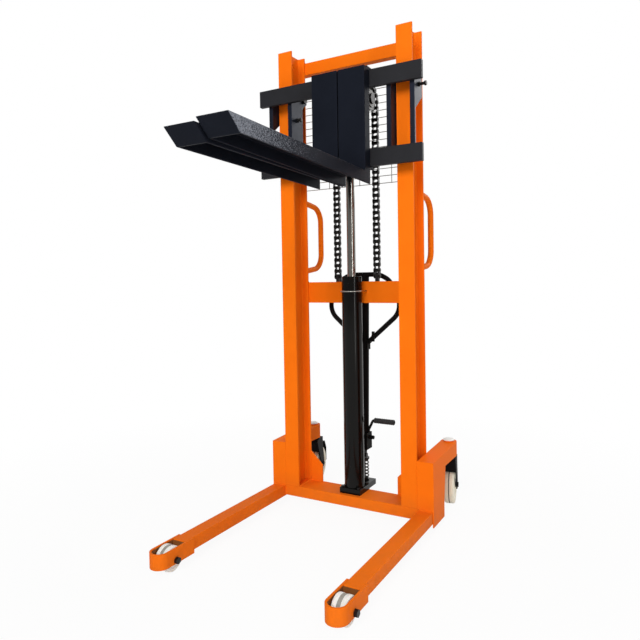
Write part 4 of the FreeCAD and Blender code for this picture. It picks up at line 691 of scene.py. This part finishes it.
(innerX, frontY, _), (_, mastBack, _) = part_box("mast_right")
legTop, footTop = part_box("straddle_legs")[1][2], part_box("base_crossmember")[1][2]
low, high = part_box("castor_bracket_right")
legLow, legHigh = low[0] + weldLook["legInside"], high[0] - weldLook["legOutside"]
gussetFront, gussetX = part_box("base_gussets")[0][1], innerX - weldLook["gussetRun"]
shortOf = weldLook["shortOf"]
runs = [((legLow, frontY, legTop), (legHigh, frontY, legTop)),
        ((innerX, frontY + shortOf, footTop), (innerX, gussetFront, footTop)),
        ((innerX, gussetFront, footTop), (gussetX, gussetFront, footTop))]
for beam in ("middle_crossbeam", "top_crossbeam"):
    low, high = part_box(beam)
    runs += [((high[0], mastBack, low[2] + shortOf), (high[0], mastBack, high[2] - shortOf)),
             ((innerX, mastBack, high[2]), (high[0], mastBack, high[2]))]
beads = [beadSurface(weldLook, np.multiply(start, (side, 1, 1)), np.multiply(end, (side, 1, 1)))
         for side in (-1, 1) for start, end in runs]
makePiece("weldBeads", beads, orangeEnamel, "frame")
print("weld beads made")


# Painted shade inside the noses, behind the front wheels: a thin brown sheet on the pocket walls

noseLook = {"half": 0.030, "wall": 0.008, "thick": 0.0003, "clean": 0.004, "depth": 0.050, "steps": 25}


def pocketSurface(look, centreX, middleY, endY, top):
    # A thin upright strip carried round the pocket: a half circle at the nose, two sides, the leg's end.
    turn = np.linspace(0, math.pi, look["steps"])
    loops = []
    for inset in (0, look["thick"]):
        half = look["half"] - inset
        x = centreX + np.append(half * np.cos(turn), (-half, half))
        y = np.append(middleY - half * np.sin(turn), (endY - inset, endY - inset))
        loops.append(np.stack([x, y], 1))
    brim, bottom = top - look["clean"], top - look["depth"]
    corners = [(0, brim), (1, brim), (1, bottom), (0, bottom)]
    points = np.concatenate([np.column_stack([loops[n], np.full(len(loops[n]), z)]) for n, z in corners])
    return points, gridFaces(4, len(loops[0]), True, True)


low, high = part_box("nose_straps")
pocketX = high[0] - noseLook["wall"] - noseLook["half"]
pocketY, legEnd = low[1] + noseLook["wall"] + noseLook["half"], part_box("straddle_legs")[0][1]
makePiece("paintedNoseShade", [pocketSurface(noseLook, side * pocketX, pocketY, legEnd, high[2]) for side in (-1, 1)],
          noseShadeFinish, "frame")
print("nose shade made")


# Floor, light and camera

floorLook = {"reach": 14.0, "matt": "EDEDEB", "near": 1.0, "far": 2.4, "whiteNear": 0.93, "whiteFar": 1.0}


def stageFloor():
    # A pale matt floor that keeps a faint shadow; the eye and mirrors see it nearly as white as the backdrop.
    mesh = bpy.data.meshes.new("floor")
    reach = floorLook["reach"]
    mesh.from_pydata([(-reach, -reach, 0), (reach, -reach, 0), (reach, reach, 0), (-reach, reach, 0)], [],
                     [(0, 1, 2, 3)])
    floor = bpy.data.objects.new("floor", mesh)
    bpy.context.scene.collection.objects.link(floor)
    material = bpy.data.materials.new("paleFloor")
    material.use_nodes = True
    tree = material.node_tree
    tree.nodes.clear()
    ray = addNode(tree, "ShaderNodeLightPath")
    matt = addNode(tree, "ShaderNodeBsdfDiffuse", {"Color": linearOf(floorLook["matt"])})
    white = addNode(tree, "ShaderNodeEmission", {"Color": linearOf("FFFFFF"), "Strength": 1.0})
    seen = addNode(tree, "ShaderNodeMath", {0: ray.outputs["Is Camera Ray"], 1: ray.outputs["Is Glossy Ray"]},
                   operation="MAXIMUM")
    seen = addNode(tree, "ShaderNodeMath", {0: seen.outputs["Value"], 1: ray.outputs["Is Transmission Ray"]},
                   operation="MAXIMUM")
    place = addNode(tree, "ShaderNodeTexCoord").outputs["Object"]
    away = addNode(tree, "ShaderNodeVectorMath", {0: place}, operation="LENGTH")
    fade = addNode(tree, "ShaderNodeMapRange",
                   {"Value": away.outputs["Value"], "From Min": floorLook["near"],
                    "From Max": floorLook["far"], "To Min": floorLook["whiteNear"],
                    "To Max": floorLook["whiteFar"]})
    share = addNode(tree, "ShaderNodeMath", {0: seen.outputs["Value"], 1: fade.outputs["Result"]},
                    operation="MULTIPLY")
    both = addNode(tree, "ShaderNodeMixShader", {0: share.outputs["Value"], 1: matt.outputs["BSDF"],
                                                 2: white.outputs["Emission"]})
    addNode(tree, "ShaderNodeOutputMaterial", {"Surface": both.outputs["Shader"]})
    mesh.materials.append(material)


roomLook = {"ahead": -0.3, "behind": 0.4, "dim": 0.35, "white": 1.0, "fill": 0.4}
lamps = {"keyLamp": {"at": (1.0, -6.2, 4.6), "to": (0, 0, 1.0), "size": (3.2, 3.2), "watts": 346},
         "sideLamp": {"at": (4.3, -2.5, 1.7), "to": (0, 0.3, 1.0), "size": (0.4, 3.4), "watts": 48},
         "rearLamp": {"at": (1.5, 5.0, 3.6), "to": (0, 0, 1.2), "size": (3.0, 3.0), "watts": 90}}


def studioLight():
    world = bpy.data.worlds.new("studio")
    bpy.context.scene.world = world
    world.use_nodes = True
    tree = world.node_tree
    tree.nodes.clear()
    ray = addNode(tree, "ShaderNodeLightPath")
    # Mirrors see the white backdrop behind the stacker and a dimmer room on the side its forks point to.
    way = addNode(tree, "ShaderNodeTexCoord").outputs["Generated"]
    behind = addNode(tree, "ShaderNodeSeparateXYZ", {"Vector": way}).outputs["Y"]
    room = addNode(tree, "ShaderNodeMapRange",
                   {"Value": behind, "From Min": roomLook["ahead"], "From Max": roomLook["behind"],
                    "To Min": roomLook["dim"], "To Max": roomLook["white"]})
    mirrored = addNode(tree, "ShaderNodeMath", {0: ray.outputs["Is Glossy Ray"],
                                                1: ray.outputs["Is Transmission Ray"]}, operation="MAXIMUM")
    mirror = addNode(tree, "ShaderNodeMix", {0: mirrored.outputs["Value"], 2: roomLook["fill"],
                                             3: room.outputs["Result"]})
    strength = addNode(tree, "ShaderNodeMix", {0: ray.outputs["Is Camera Ray"], 2: mirror.outputs[0],
                                               3: roomLook["white"]})
    glow = addNode(tree, "ShaderNodeBackground",
                   {"Color": linearOf("FFFFFF"), "Strength": strength.outputs[0]})
    addNode(tree, "ShaderNodeOutputWorld", {"Surface": glow.outputs["Background"]})
    for name, lamp in lamps.items():
        light = bpy.data.lights.new(name, "AREA")
        light.shape, light.energy = "RECTANGLE", lamp["watts"]
        light.size, light.size_y = lamp["size"]
        item = bpy.data.objects.new(name, light)
        way = np.array(lamp["at"]) - np.array(lamp["to"])
        bpy.context.scene.collection.objects.link(item)
        item.location = lamp["at"]
        item.rotation_euler = (math.acos(way[2] / np.linalg.norm(way)), 0, math.atan2(way[0], -way[1]))


# Place, yaw, pitch and roll were fitted to the photograph; the image is 640 by 640.
cameraLook = {"at": (1.17971, -2.02663, 1.04069), "yaw": 29.77, "pitch": -1.93, "roll": -0.96,
              "focal": 591.26 / 640, "shift": -19.88 / 640, "sensor": 36.0, "far": 60}


def photoCamera():
    # The three angles give the camera's right, up and ahead directions, which are its matrix's columns.
    look = cameraLook
    yaw, pitchAngle, roll = (math.radians(look[k]) for k in ("yaw", "pitch", "roll"))
    ahead = np.array([-math.sin(yaw) * math.cos(pitchAngle), math.cos(yaw) * math.cos(pitchAngle),
                      math.sin(pitchAngle)])
    level = np.array([math.cos(yaw), math.sin(yaw), 0])
    upright = np.cross(level, ahead)
    right = level * math.cos(roll) + upright * math.sin(roll)
    up = upright * math.cos(roll) - level * math.sin(roll)
    camera = bpy.data.cameras.new("photoCamera")
    camera.sensor_width, camera.sensor_fit = look["sensor"], "HORIZONTAL"
    camera.lens = look["focal"] * look["sensor"]
    camera.shift_y = look["shift"]
    camera.clip_end = look["far"]
    item = bpy.data.objects.new("photoCamera", camera)
    bpy.context.scene.collection.objects.link(item)
    turn = np.eye(4)
    turn[:3, 0], turn[:3, 1], turn[:3, 2], turn[:3, 3] = right, up, -ahead, look["at"]
    item.matrix_world = Matrix(turn.tolist())
    bpy.context.scene.camera = item


stageFloor()
studioLight()
photoCamera()
bpy.context.scene.view_settings.view_transform = "Standard"
print("stage ready")
